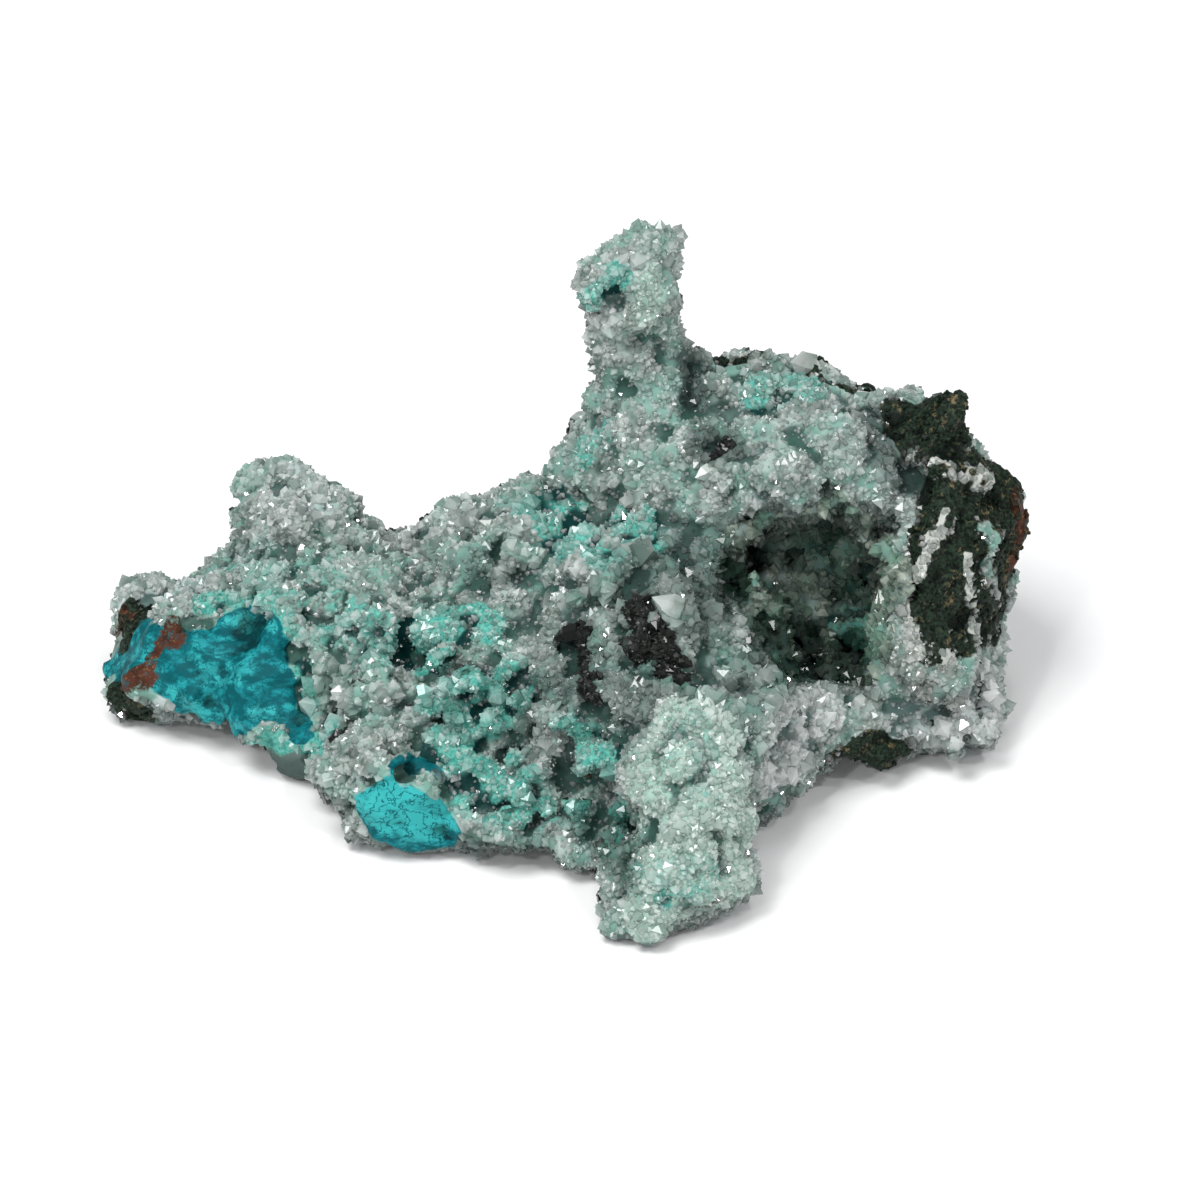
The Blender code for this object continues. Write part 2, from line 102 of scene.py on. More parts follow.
# Soft square lights: (name, direction from the specimen, distance, size, power).
LIGHTS = (
    ("key", (-0.35, -0.30, 1.0), 0.85, 0.40, 5.6),
    ("fill", (0.75, -0.65, 0.55), 0.9, 0.6, 0.7),
    ("top", (0.25, 0.30, 1.0), 0.9, 0.5, 1.6),
    ("glint_0", (-0.3, -0.8, 0.7), 0.8, 0.045, 0.9),
    ("glint_1", (0.35, -0.55, 0.9), 0.8, 0.045, 0.9),
    ("glint_2", (-0.75, -0.3, 0.6), 0.8, 0.045, 0.9),
    ("glint_3", (0.05, -0.95, 0.35), 0.8, 0.045, 0.9),
    ("glint_4", (0.8, -0.2, 0.7), 0.8, 0.045, 0.9),
)
ROOM_COLOUR = (0.93, 0.96, 1.0, 1)
ROOM_LIGHT = 0.2
FLOOR_SIZE = 6.0
CAMERA_DISTANCE = 2.0
SENSOR_WIDTH = 36

# Zones of the rock: (strength, radius, places along it on the front view).
# Some are minerals (blue, teal, pale, haze, dark, rust, vein, black), the
# dark grey quartz zones are partly grey quartz and partly painted shade, one
# only lightens (bright), one is painted shade alone, and some shape the rock or
# its points (large, solid, smooth, thin, sponge).
ZONES = {
    "blue": (
        (1.1, 28, ((112, 655), (125, 636), (128, 676))),
        (0.9, 18, ((140, 622), (150, 640), (142, 655))),
        (1.2, 42, ((175, 664), (205, 662), (250, 660))),
        (1.2, 34, ((200, 700), (235, 705), (270, 690))),
        (1.1, 24, ((215, 625), (240, 624), (264, 636))),
        (1.0, 16, ((290, 712), (300, 728))),
        (1.15, 36, ((382, 815), (425, 822))),
        (1.0, 24, ((405, 845), (440, 838))),
        (1.0, 15, ((395, 782), (405, 768), (425, 760), (440, 764))),
        (0.9, 10, ((300, 700), (306, 722), (292, 735))),
    ),
    "bright": (
        (1.05, 44, ((375, 800), (425, 812))),
        (0.9, 12, ((205, 618), (240, 616), (272, 628), (288, 650), (298, 676))),
        (0.8, 12, ((168, 690), (200, 715), (240, 722), (275, 712))),
        (0.6, 22, ((190, 660), (235, 670))),
        (0.45, 30, ((110, 650), (125, 640), (128, 675))),
    ),
    # Painted shade: darkens the hollow, its mouth, the crevices and pits, and the band under the blue face.
    "painted_shade": (
        (1.1, 26, ((732, 575), (728, 595), (745, 560))),
        (1.3, 34, ((780, 640), (800, 652), (825, 662), (845, 655))),
        (0.5, 40, ((700, 545), (690, 590), (715, 640))),
        (0.4, 46, ((640, 580), (610, 640), (650, 680))),
        (0.25, 34, ((760, 680), (735, 700))),
        (0.9, 30, ((590, 800), (610, 830), (628, 860))),
        (0.9, 18, ((505, 740), (530, 745))),
        (0.3, 30, ((885, 430), (905, 470), (880, 410))),
        (0.9, 30, ((642, 612), (655, 640), (672, 662))),
        (0.7, 22, ((582, 640), (592, 685))),
        (0.8, 24, ((735, 545), (725, 530))),
        (0.6, 26, ((692, 365), (690, 395), (720, 450))),
        (0.7, 24, ((270, 765), (310, 785), (340, 800))),
        (0.8, 26, ((480, 850), (530, 850), (580, 862))),
        (0.7, 16, ((440, 742), (412, 742), (478, 702), (560, 690), (350, 640))),
        (0.8, 14, ((500, 742), (535, 745), (612, 722))),
        (0.3, 32, ((490, 570), (480, 600))),
    ),
    "teal": (
        (0.8, 16, ((205, 600), (240, 600), (270, 612), (290, 640), (302, 670), (303, 700))),
        (0.8, 18, ((175, 728), (215, 738), (250, 740), (280, 745))),
        (1.2, 20, ((312, 745), (325, 735))),
        (0.5, 40, ((340, 620), (380, 645))),
        (1.5, 24, ((405, 640), (440, 632), (470, 628), (490, 622))),
        (1.4, 20, ((410, 652), (440, 660))),
        (0.7, 45, ((450, 690), (500, 690), (450, 740))),
        (0.7, 45, ((480, 780), (540, 800), (590, 815))),
        (0.6, 35, ((600, 765), (570, 740))),
        (1.8, 30, ((566, 525), (548, 505), (575, 545))),
        (0.8, 20, ((590, 548), (608, 560))),
        (0.8, 18, ((655, 520), (650, 545), (610, 520))),
        (1.0, 14, ((622, 274), (588, 306))),
        (0.5, 24, ((600, 430), (590, 455))),
        (0.5, 38, ((770, 385), (800, 388))),
        (0.9, 12, ((750, 400), (762, 404))),
        (0.5, 26, ((850, 620), (870, 640))),
        (1.0, 14, ((662, 898),)),
        (0.4, 34, ((640, 880), (700, 870))),
        (0.4, 30, ((185, 590), (215, 575), (250, 560), (330, 590))),
        (0.45, 30, ((270, 600), (300, 620))),
        (0.35, 40, ((690, 740), (690, 790))),
    ),
    "pale": (
        (1.0, 52, ((690, 735), (695, 780), (715, 820))),
        (0.8, 50, ((680, 870), (660, 910), (720, 885))),
        (0.6, 30, ((645, 780), (640, 820))),
        (0.8, 16, ((650, 275), (648, 320))),
    ),
    "haze": (
        (0.9, 26, ((165, 712), (190, 722), (215, 745))),
        (0.7, 30, ((130, 600), (165, 592), (195, 588))),
        (1.1, 38, ((785, 730), (815, 702), (775, 765))),
        (1.0, 40, ((965, 690), (975, 720), (1000, 725))),
        (0.9, 26, ((930, 735), (900, 720))),
        (0.5, 16, ((750, 500), (775, 495), (800, 492), (840, 500), (865, 512))),
        (0.6, 40, ((290, 490), (260, 510), (320, 500))),
        (0.5, 30, ((470, 500), (420, 545), (380, 520))),
        (0.5, 24, ((640, 250), (600, 300), (610, 350))),
    ),
    # Dark grey quartz, and painted shade where these zones lie in shaded places, such as the centre hump and the band
    # under the blue face.
    "smoky": (
        (0.8, 40, ((880, 425), (905, 470), (890, 450))),
        (0.9, 22, ((692, 365), (690, 395))),
        (0.7, 26, ((720, 452), (705, 440))),
        (0.45, 36, ((490, 548), (475, 565))),
        (0.6, 56, ((650, 570), (690, 600), (705, 560))),
        (0.5, 40, ((760, 675), (740, 700))),
        (0.6, 40, ((640, 700), (620, 740))),
        (0.6, 50, ((560, 640), (590, 700))),
        (0.8, 40, ((270, 765), (310, 785), (340, 800))),
    ),
    "dark": (
        (1.1, 22, ((150, 598), (132, 612), (122, 634))),
        (1.1, 20, ((118, 698), (134, 715), (152, 735))),
        (1.2, 12, ((722, 356), (760, 352), (800, 358), (835, 381), (880, 398))),
        (1.3, 34, ((955, 388), (945, 420), (925, 440), (910, 412))),
        (1.2, 42, ((940, 490), (1000, 470), (1015, 520))),
        (1.2, 44, ((1020, 470), (1025, 520), (1015, 580))),
        (1.2, 42, ((940, 530), (930, 575), (930, 610))),
        (1.1, 40, ((965, 560), (975, 610))),
        (1.0, 30, ((1000, 620), (930, 640))),
        (1.2, 22, ((845, 762), (870, 752), (895, 755), (925, 757))),
        (0.9, 6, ((925, 660), (932, 700), (938, 740))),
        (0.9, 6, ((978, 655), (984, 720))),
        (0.7, 5, ((790, 718), (810, 712), (830, 690))),
    ),
    "rust": (
        (1.0, 18, ((172, 628), (160, 645), (148, 668), (135, 686))),
        (0.8, 14, ((120, 612), (112, 635))),
        (0.8, 22, ((1024, 500), (1030, 540), (1016, 580))),
        (0.8, 8, ((682, 910), (705, 905), (724, 898))),
        (0.5, 16, ((905, 570), (915, 600))),
    ),
    "vein": (
        (1.1, 13, ((918, 457), (950, 472), (985, 480))),
        (1.1, 9, ((950, 515), (930, 550), (908, 590), (896, 620), (898, 650))),
        (1.1, 8, ((966, 558), (972, 600), (978, 650))),
        (1.0, 5, ((988, 555), (990, 592))),
        (1.2, 12, ((902, 625), (912, 655), (925, 690))),
        (1.2, 12, ((945, 655), (950, 700), (955, 738))),
    ),
    "black": (
        (1.25, 20, ((642, 610), (650, 626), (662, 648), (674, 664))),
        (0.9, 16, ((634, 648), (652, 640))),
        (1.2, 12, ((580, 630), (585, 655), (592, 692))),
        (1.1, 13, ((341, 728), (352, 735))),
        (0.9, 9, ((505, 748), (520, 742))),
        (0.9, 8, ((716, 455), (722, 448))),
    ),
    "large": (
        (1.0, 42, ((745, 670), (770, 662), (705, 690), (760, 690))),
        (0.7, 44, ((640, 560), (690, 600), (620, 620))),
        (0.8, 34, ((335, 680), (380, 690))),
        (0.6, 40, ((540, 520), (590, 590))),
        (0.6, 40, ((720, 740), (700, 800))),
    ),
    "solid": (
        (1.0, 38, ((570, 525), (552, 505), (585, 545))),
        (1.0, 26, ((440, 630), (480, 622))),
    ),
    "smooth": (
        (1.0, 44, ((165, 668), (200, 665), (245, 662))),
        (0.7, 30, ((110, 650), (125, 640), (126, 680))),
        (0.9, 28, ((225, 705), (270, 690))),
        (1.0, 40, ((250, 760), (290, 775), (330, 795))),
        (0.9, 34, ((385, 815), (425, 822), (410, 800))),
    ),
    "thin": (
        (1.0, 62, ((630, 255), (630, 300), (635, 350), (640, 400))),
        (1.0, 46, ((945, 400), (930, 430))),
        (0.8, 42, ((290, 485), (110, 655))),
        (0.8, 40, ((1010, 480), (1000, 725))),
    ),
    "sponge": (
        (1.0, 60, ((440, 680), (500, 690), (470, 740), (540, 780))),
        (0.8, 50, ((590, 740), (590, 800))),
        (0.5, 50, ((380, 620), (340, 620), (330, 690))),
        (0.5, 50, ((560, 600), (500, 600))),
    ),
}

# Single lumps on the front view: (across, down, radius), and caverns:
# (across, down, radius, how far behind the surface the middle lies).
LUMPS = (
    (748, 668, 15), (766, 660, 13), (742, 690, 13), (762, 684, 15), (780, 678, 11), (734, 655, 11),
    (724, 676, 13), (752, 703, 12), (772, 700, 11), (732, 708, 12), (745, 498, 10), (762, 506, 9),
    (782, 502, 11), (805, 496, 10), (828, 496, 11), (850, 503, 10), (290, 470, 16), (270, 478, 13),
    (305, 482, 12), (640, 560, 16), (665, 575, 14), (600, 590, 14), (575, 600, 12), (615, 570, 12),
    (430, 700, 13), (455, 712, 12), (480, 720, 13), (400, 690, 12), (520, 700, 12), (545, 712, 11),
    (380, 670, 12), (700, 720, 20), (680, 760, 22), (720, 770, 20), (695, 800, 20), (660, 800, 16),
    (725, 815, 16), (670, 845, 15), (700, 850, 16), (640, 860, 14), (680, 237, 6), (676, 243, 8),
    (668, 248, 7), (655, 251, 6), (640, 255, 6), (622, 260, 6), (606, 267, 6), (588, 292, 6),
    (606, 278, 9), (596, 305, 8), (962, 392, 9), (955, 402, 13), (948, 415, 15), (958, 425, 11),
    (940, 432, 16), (965, 440, 8),
)
CAVERNS = (
    (405, 650, 12, 6), (420, 655, 15, 9), (438, 658, 11, 7), (458, 652, 8, 5), (500, 742, 14, 6),
    (518, 736, 17, 9), (536, 746, 12, 7), (572, 778, 11, 8), (590, 800, 14, 10), (605, 820, 15, 12),
    (618, 840, 14, 12), (628, 858, 11, 9), (532, 668, 9, 6), (562, 690, 10, 8), (470, 700, 8, 5),
    (587, 745, 9, 7), (612, 720, 9, 6), (450, 790, 8, 5), (350, 640, 8, 5), (332, 590, 7, 4),
    (500, 560, 8, 5), (522, 590, 9, 6), (480, 600, 8, 5), (640, 590, 8, 5), (586, 660, 10, 5),
    (655, 640, 14, 5), (735, 575, 12, 6), (650, 500, 7, 4), (860, 400, 7, 4), (622, 274, 8, 4),
    (400, 745, 8, 4), (545, 830, 9, 5), (778, 640, 24, 14), (800, 652, 27, 18), (822, 658, 24, 18),
    (765, 632, 17, 10), (845, 655, 20, 18), (790, 645, 24, 40), (815, 655, 24, 45), (776, 655, 20, 16),
    (796, 670, 20, 18), (820, 676, 20, 20), (845, 670, 18, 22), (780, 630, 24, 40), (800, 665, 22, 50),
    (735, 585, 18, 34), (732, 570, 18, 10), (726, 592, 16, 12), (745, 600, 16, 12), (880, 530, 18, 10),
    (870, 570, 18, 12),
)

# Where the left and lower lip of the hollow is cut back, and where painted
# shade darkens it most: (across, down, radius).
MOUTH = (
    (730, 560, 15), (735, 580, 17), (742, 602, 17), (755, 622, 18), (768, 640, 20), (778, 658, 20),
    (795, 668, 20), (820, 672, 19), (845, 670, 17), (862, 660, 14),
)
HOLLOW_SHADE_SPOTS = ((732, 580, 30), (770, 635, 32), (800, 655, 42), (845, 660, 38))


# ---------------------------------------------------------------- places

def ease(low, high, value):
    """0 below low, 1 above high, and a smooth rise between them."""
    share = np.clip((value - low) / (high - low), 0.0, 1.0)
    return share * share * (3.0 - 2.0 * share)


def wave(places, size, seed):
    """Smooth noise at each place, with bumps of that size."""
    shift = Vector((seed * 3.17, seed * 1.71, seed * 2.39))
    return np.array([noise.noise(Vector(p) + shift) for p in (places / size).tolist()])


def ragged(places, size, reach, seed):
    """The places, each moved a little, so that a zone's edge is ragged."""
    noise.seed_set(seed)  # without it, noise_vector starts from the time of day
    moves = [noise.noise_vector(Vector(p) + Vector((seed, 0, 0))) for p in (places / size).tolist()]
    return places + np.array(moves) * reach


def cells(places, size, seed):
    """Distance to the nearest cell middle, and to the border between cells."""
    shift = Vector((seed, seed * 0.7, 0))
    found = [noise.voronoi(Vector(p) + shift)[0] for p in (places / size).tolist()]
    near = np.array(found)
    return near[:, 0], near[:, 1] - near[:, 0]


class FrontView:
    """Finds the place on the solid behind a place on the front view."""

    def __init__(self):
        self.trees = []
        self.lowest = math.inf
        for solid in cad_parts.values():
            corners = [solid.matrix_world @ v.co for v in solid.data.vertices]
            faces = [tuple(p.vertices) for p in solid.data.polygons]
            self.trees.append(BVHTree.FromPolygons(corners, faces))
            self.lowest = min(self.lowest, min(c.dot(SIGHT_UP) for c in corners))
        self.left = min(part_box(name)[0].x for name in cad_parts)
        self.kept = {}

    def on_plane(self, across, down):
        """The place on the sight plane through the origin."""
        side = self.left + (across - LEFT_END) * TENTH
        up = self.lowest + (LOWEST_POINT - down) * TENTH
        return Vector((side, 0, 0)) + SIGHT_UP * up

    def surface(self, across, down):
        """The first place on the solid that the sight line meets, or None."""
        start = self.on_plane(across, down) + TO_VIEWER * SIGHT_START
        hits = [tree.ray_cast(start, -TO_VIEWER, SIGHT_LENGTH) for tree in self.trees]
        hits = [hit for hit in hits if hit[0] is not None]
        return min(hits, key=lambda hit: hit[3])[0] if hits else None

    def spots(self, places):
        """Where places appear on the front view: across and down."""
        across = (places[:, 0] - self.left) / TENTH + LEFT_END
        down = LOWEST_POINT - (places @ np.array(SIGHT_UP) - self.lowest) / TENTH
        return np.stack([across, down], 1)

    def along(self, spots):
        """Places on the solid every millimetre along a line of spots."""
        if spots in self.kept:
            return self.kept[spots]
        line = [Vector(spots[0])]
        for start, end in zip(spots, spots[1:]):
            start, end = Vector(start), Vector(end)
            steps = max(1, round((end - start).length / LINE_STEP))
            line += [start.lerp(end, (i + 1) / steps) for i in range(steps)]
        found = [self.surface(p.x, p.y) for p in line]
        self.kept[spots] = np.array([p for p in found if p is not None]).reshape(-1, 3)
        return self.kept[spots]


def zone_share(view, name, places):
    """How far each place lies in a zone, from 0 to the zone's strength."""
    share = np.zeros(len(places))
    for strength, radius, spots in ZONES[name]:
        reach = radius * TENTH
        for middle in view.along(spots):
            near = np.flatnonzero(np.abs(places[:, 0] - middle[0]) < 1.2 * reach)
            far = np.linalg.norm(places[near] - middle, axis=1) / reach
            share[near] = np.maximum(share[near], strength * ease(1.2, 0.6, far))
    return share


def full_share(view, *names, places):
    """The sum of the shares in these zones, at most 1."""
    return np.minimum(sum(zone_share(view, name, places) for name in names), 1.0)


# ---------------------------------------------------------------- mesh helpers

def start_fresh():
    """Leaves object mode on and nothing selected."""
    if bpy.context.object and bpy.context.object.mode != "OBJECT":
        bpy.ops.object.mode_set(mode="OBJECT")
    bpy.ops.object.select_all(action="DESELECT")


def pick(obj):
    """Selects one object alone."""
    start_fresh()
    obj.select_set(True)
    bpy.context.view_layer.objects.active = obj


def apply_modifier(obj, kind, **settings):
    """Adds a modifier with these settings and applies it."""
    pick(obj)
    modifier = obj.modifiers.new(kind.title(), kind)
    for name, value in settings.items():
        setattr(modifier, name, value)
    bpy.ops.object.modifier_apply(modifier=modifier.name)


def remesh(obj, grid):
    """Makes an object's mesh anew on a grid of that size."""
    apply_modifier(obj, "REMESH", mode="VOXEL", voxel_size=grid)


def join(obj, other):
    """Joins another object to this one."""
    pick(obj)
    other.select_set(True)
    bpy.ops.object.join()


def cut(obj, tool):
    """Cuts a closed shape out of an object, and removes that shape."""
    apply_modifier(obj, "BOOLEAN", operation="DIFFERENCE", object=tool, solver="MANIFOLD")
    bpy.data.objects.remove(tool)


def cad_copy(node, name):
    """A copy of a CAD node's mesh with its loose triangles merged."""
    obj = bpy.data.objects.new(name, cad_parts[node].data.copy())
    bpy.context.collection.objects.link(obj)
    obj.data.materials.clear()
    pick(obj)
    bpy.ops.object.mode_set(mode="EDIT")
    bpy.ops.mesh.select_all(action="SELECT")
    bpy.ops.mesh.remove_doubles(threshold=0.000001)
    bpy.ops.object.mode_set(mode="OBJECT")
    return obj


def surface_of(obj):
    """The mesh's corner places and its triangles, as arrays."""
    mesh = obj.data
    mesh.calc_loop_triangles()
    places = np.empty(len(mesh.vertices) * 3)
    mesh.vertices.foreach_get("co", places)
    corners = np.empty(len(mesh.loop_triangles) * 3, np.int32)
    mesh.loop_triangles.foreach_get("vertices", corners)
    return places.reshape(-1, 3), corners.reshape(-1, 3)


def corner_normals(obj):
    """The mesh's normals at its corners."""
    normals = np.empty(len(obj.data.vertices) * 3)
    obj.data.vertex_normals.foreach_get("vector", normals)
    return normals.reshape(-1, 3)


def push_out(obj, places, normals, height):
    """Moves the corners along the normals, by heights in millimetres, but not below the table."""
    places = places + normals * (height * MM)[:, None]
    places[:, 2] = np.maximum(places[:, 2], 0.0)
    obj.data.vertices.foreach_set("co", places.ravel())
    obj.data.update()


def neighbours_mean(obj, values, rounds):
    """Values at the corners, averaged with those of joined corners."""
    edges = np.empty(len(obj.data.edges) * 2, np.int32)
    obj.data.edges.foreach_get("vertices", edges)
    a, b = edges[0::2], edges[1::2]
    count = np.bincount(a, minlength=len(values)) + np.bincount(b, minlength=len(values))
    count = np.maximum(count, 1)[:, None]
    values = values.reshape(len(values), -1).astype(float)
    for _ in range(rounds):
        total = np.zeros_like(values)
        for axis in range(values.shape[1]):
            total[:, axis] += np.bincount(a, values[b, axis], len(values))
            total[:, axis] += np.bincount(b, values[a, axis], len(values))
        values = 0.5 * values + 0.5 * total / count
    return values


def face_crosses(places, corners):
    """Each triangle's normal, twice as long as its area."""
    a, b, c = (places[corners[:, i]] for i in range(3))
    return np.cross(b - a, c - a)


def scatter(places, corners, chance, count, rng):
    """Random spots on the triangles, with their normals, triangles and shares."""
    cross = face_crosses(places, corners)
    area = np.linalg.norm(cross, axis=1) + 1e-18
    weight = area * chance
    picked = rng.choice(len(corners), count, p=weight / weight.sum())
    r1, r2 = np.sqrt(rng.random(count)), rng.random(count)
    shares = np.stack([1 - r1, r1 * (1 - r2), r1 * r2], 1)
    spots = (places[corners[picked]] * shares[:, :, None]).sum(1)
    return spots, cross[picked] / area[picked, None], picked, shares


def turns(directions, spins):
    """A turning matrix for each direction, spun about it."""
    z = directions / np.linalg.norm(directions, axis=1, keepdims=True)
    side = np.where(np.abs(z[:, 2:]) < 0.9, [[0.0, 0.0, 1.0]], [[1.0, 0.0, 0.0]])
    x = np.cross(side, z)
    x /= np.linalg.norm(x, axis=1, keepdims=True)
    y = np.cross(z, x)
    c, s = np.cos(spins)[:, None], np.sin(spins)[:, None]
    return np.stack([x * c + y * s, y * c - x * s, z], axis=2)


def copies(shape, places, matrices, sizes):
    """The corners and triangles of one shape, copied to each place."""
    points, faces = shape
    moved = np.einsum("nij,nkj->nki", matrices, points[None] * sizes[:, None, :])
    moved += places[:, None, :]
    steps = (np.arange(len(places)) * len(points))[:, None, None]
    return moved.reshape(-1, 3), (faces[None] + steps).reshape(-1, 3)


def triangle_object(name, points, faces):
    """A new object from corner places and triangles."""
    mesh = bpy.data.meshes.new(name)
    mesh.vertices.add(len(points))
    mesh.loops.add(len(faces) * 3)
    mesh.polygons.add(len(faces))
    mesh.vertices.foreach_set("co", np.ascontiguousarray(points, np.float32).ravel())
    mesh.loops.foreach_set("vertex_index", np.ascontiguousarray(faces, np.int32).ravel())
    mesh.polygons.foreach_set("loop_start", np.arange(0, len(faces) * 3, 3, dtype=np.int32))
    mesh.polygons.foreach_set("use_smooth", np.zeros(len(faces), bool))
    mesh.update(calc_edges=True)
    obj = bpy.data.objects.new(name, mesh)
    bpy.context.collection.objects.link(obj)
    return obj


def paint(obj, name, values):
    """Stores one value for each corner, for the materials to read."""
    attribute = obj.data.attributes.new(name, "FLOAT", "POINT")
    attribute.data.foreach_set("value", np.ascontiguousarray(values, np.float32))


def painted(obj, name):
    """Reads the values that paint stored."""
    values = np.empty(len(obj.data.vertices), np.float32)
    obj.data.attributes[name].data.foreach_get("value", values)
    return values


def face_shares(obj, corners, names):
    """The painted values of these names at the middle of each triangle."""
    return {name: painted(obj, name)[corners].mean(1) for name in names}


def take_shape(obj):
    """An object's corners and triangles; the object is then removed."""
    shape = surface_of(obj)
    bpy.data.objects.remove(obj)
    return shape


# ---------------------------------------------------------------- shapes to copy

def ball_shape(detail, stretch, smoothing=0.0):
    """A ball with a radius of one, stretched and, if asked for, smoothed."""
    start_fresh()
    bpy.ops.mesh.primitive_ico_sphere_add(subdivisions=detail, radius=1.0)
    bpy.ops.object.mode_set(mode="EDIT")
    bpy.ops.mesh.select_all(action="SELECT")
    bpy.ops.transform.resize(value=stretch)
    if smoothing:
        bpy.ops.mesh.vertices_smooth(factor=smoothing)
    bpy.ops.object.mode_set(mode="OBJECT")
    return take_shape(bpy.context.object)


def knob_shape():
    """A round knob, slightly flattened."""
    return ball_shape(2, (1.0, 1.0, 0.85), smoothing=0.3)


def grain_shape():
    """A blunt grain with few faces."""
    return ball_shape(1, (1.0, 0.8, 0.9))


def crystal_shape(sides, prism, lean):
    """A quartz point, open below: a prism one wide with a pointed top.

    prism is the share of the height that the straight sides take, and lean
    moves the tip off the middle."""
    start_fresh()
    bpy.ops.mesh.primitive_cylinder_add(
        vertices=sides, radius=0.5, depth=prism, end_fill_type="TRIFAN",
        location=(0, 0, prism / 2),
    )
    obj = bpy.context.object
    obj.data.transform(obj.matrix_world)
    obj.matrix_world.identity()
    bpy.ops.object.mode_set(mode="EDIT")
    bpy.ops.mesh.select_mode(type="FACE")
    bpy.ops.mesh.select_all(action="DESELECT")
    bpy.ops.object.mode_set(mode="OBJECT")
    for face in obj.data.polygons:
        face.select = face.normal.z < -0.5
    bpy.ops.object.mode_set(mode="EDIT")
    bpy.ops.mesh.delete(type="FACE")
    bpy.ops.mesh.select_mode(type="VERT")
    bpy.ops.mesh.select_all(action="DESELECT")
    bpy.ops.object.mode_set(mode="OBJECT")
    for corner in obj.data.vertices:
        corner.select = corner.co.z > prism - 0.01 and corner.co.xy.length < 0.1
    bpy.ops.object.mode_set(mode="EDIT")
    bpy.ops.transform.translate(value=(lean, lean * 0.6, 1.0 - prism))
    bpy.ops.mesh.select_all(action="SELECT")
    bpy.ops.mesh.quads_convert_to_tris()
    bpy.ops.object.mode_set(mode="OBJECT")
    return take_shape(obj)


# ---------------------------------------------------------------- the rock

def turned_knobs(spots, radius, spread, rng):
    """A knob at each spot, turned at random."""
    matrices = turns(rng.normal(size=(len(spots), 3)), rng.random(len(spots)) * 6)
    return copies(knob_shape(), spots, matrices, radius[:, None] * spread)


def knob_copies(view, rock, sizes, rng):
    """Druse knobs all over the rock, and the single lumps of the front."""
    places, corners = surface_of(rock)
    smooth = full_share(view, "smooth", places=places[corners].mean(1))
    spots, normals, _, _ = scatter(places, corners, 1.02 - smooth, sizes.knob_count, rng)
    radius = sizes.knob_radius * (0.36 + 0.64 * rng.random(len(spots)) ** 2)
    clumps = sizes.clump_count
    radius[:clumps] = sizes.clump_radius * rng.uniform(0.55, 1.5, clumps)
    dark = full_share(view, "dark", places=spots)
    thin = full_share(view, "thin", places=spots)
    radius *= (1.0 - 0.35 * dark) * (1.0 - 0.5 * thin)
    sink = rng.uniform(-0.3, 0.6, len(spots))
    sink[:clumps] = rng.uniform(-0.5, 0.05, clumps)
    spots = spots + normals * (sink * radius)[:, None]
    lumps = [(view.surface(a, d), r) for a, d, r in LUMPS]
    lumps = [(p, r) for p, r in lumps if p is not None]
    for _, reach, line in ZONES["vein"]:
        for place in view.along(line):
            for _ in range(VEIN_LUMPS):
                lumps.append((place + rng.normal(size=3) * reach * 0.5 * TENTH, reach * rng.uniform(0.35, 0.85)))
    spots = np.concatenate([spots, [p for p, _ in lumps]])
    radius = np.concatenate([radius, [r * TENTH for _, r in lumps]])
    spread = rng.uniform(0.75, 1.2, (len(spots), 3))
    return turned_knobs(spots, radius, spread, rng)


def cavern_copies(view, rock, sizes, rng, scattered=True):
    """Closed hollow shapes for the caverns and the pits of the spongy part."""
    places, corners = surface_of(rock)
    middles = places[corners].mean(1)
    crust_low, crust_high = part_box("hollow_crystal_crust")
    crust_middle = (np.array(crust_low) + np.array(crust_high)) / 2
    clear = np.linalg.norm(middles - crust_middle, axis=1) > PITS_FROM_HOLLOW
    high = middles[:, 2] > PITS_FROM_TABLE
    smooth = full_share(view, "smooth", places=middles)
    sponge = full_share(view, "sponge", places=middles)
    pale = full_share(view, "pale", "solid", places=middles)
    chance = (0.22 + sponge) * (1.0 - pale) * clear * high * (1.0 - smooth) + 1e-9
    spots, normals, _, _ = scatter(places, corners, chance, sizes.pit_count if scattered else 1, rng)
    radius = sizes.pit_radius * rng.uniform(0.55, 1.25, len(spots))
    spots = spots + normals * (radius * rng.uniform(-0.3, 0.35, len(spots)))[:, None]
    deep = [(view.surface(a, d), r, b) for a, d, r, b in CAVERNS]
    deep = [(p - TO_VIEWER * b * TENTH, r) for p, r, b in deep if p is not None]
    for across, down, r in MOUTH:
        front = view.surface(across, down)
        deep += [(front - TO_VIEWER * step * MOUTH_STEP * MM, r) for step in range(MOUTH_STEPS)]
    spots = np.concatenate([spots, [p for p, _ in deep]])
    radius = np.concatenate([radius, [r * TENTH * 1.15 for _, r in deep]])
    spread = rng.uniform(0.7, 1.3, (len(spots), 3))
    return turned_knobs(spots, radius, spread, rng)


def shrink_rock(view, rock):
    """Takes the surface in, to leave room for knobs and quartz points, and bends it."""
    places, _ = surface_of(rock)
    normals = neighbours_mean(rock, corner_normals(rock), 3)
    swell = 0.75 * wave(places, 7.0 * MM, 21) + 0.45 * wave(places, 3.5 * MM, 22)
    thin = full_share(view, "thin", places=places)
    push_out(rock, places, normals, (swell - 0.75) * (1 - 0.7 * thin) - 0.15 * thin)


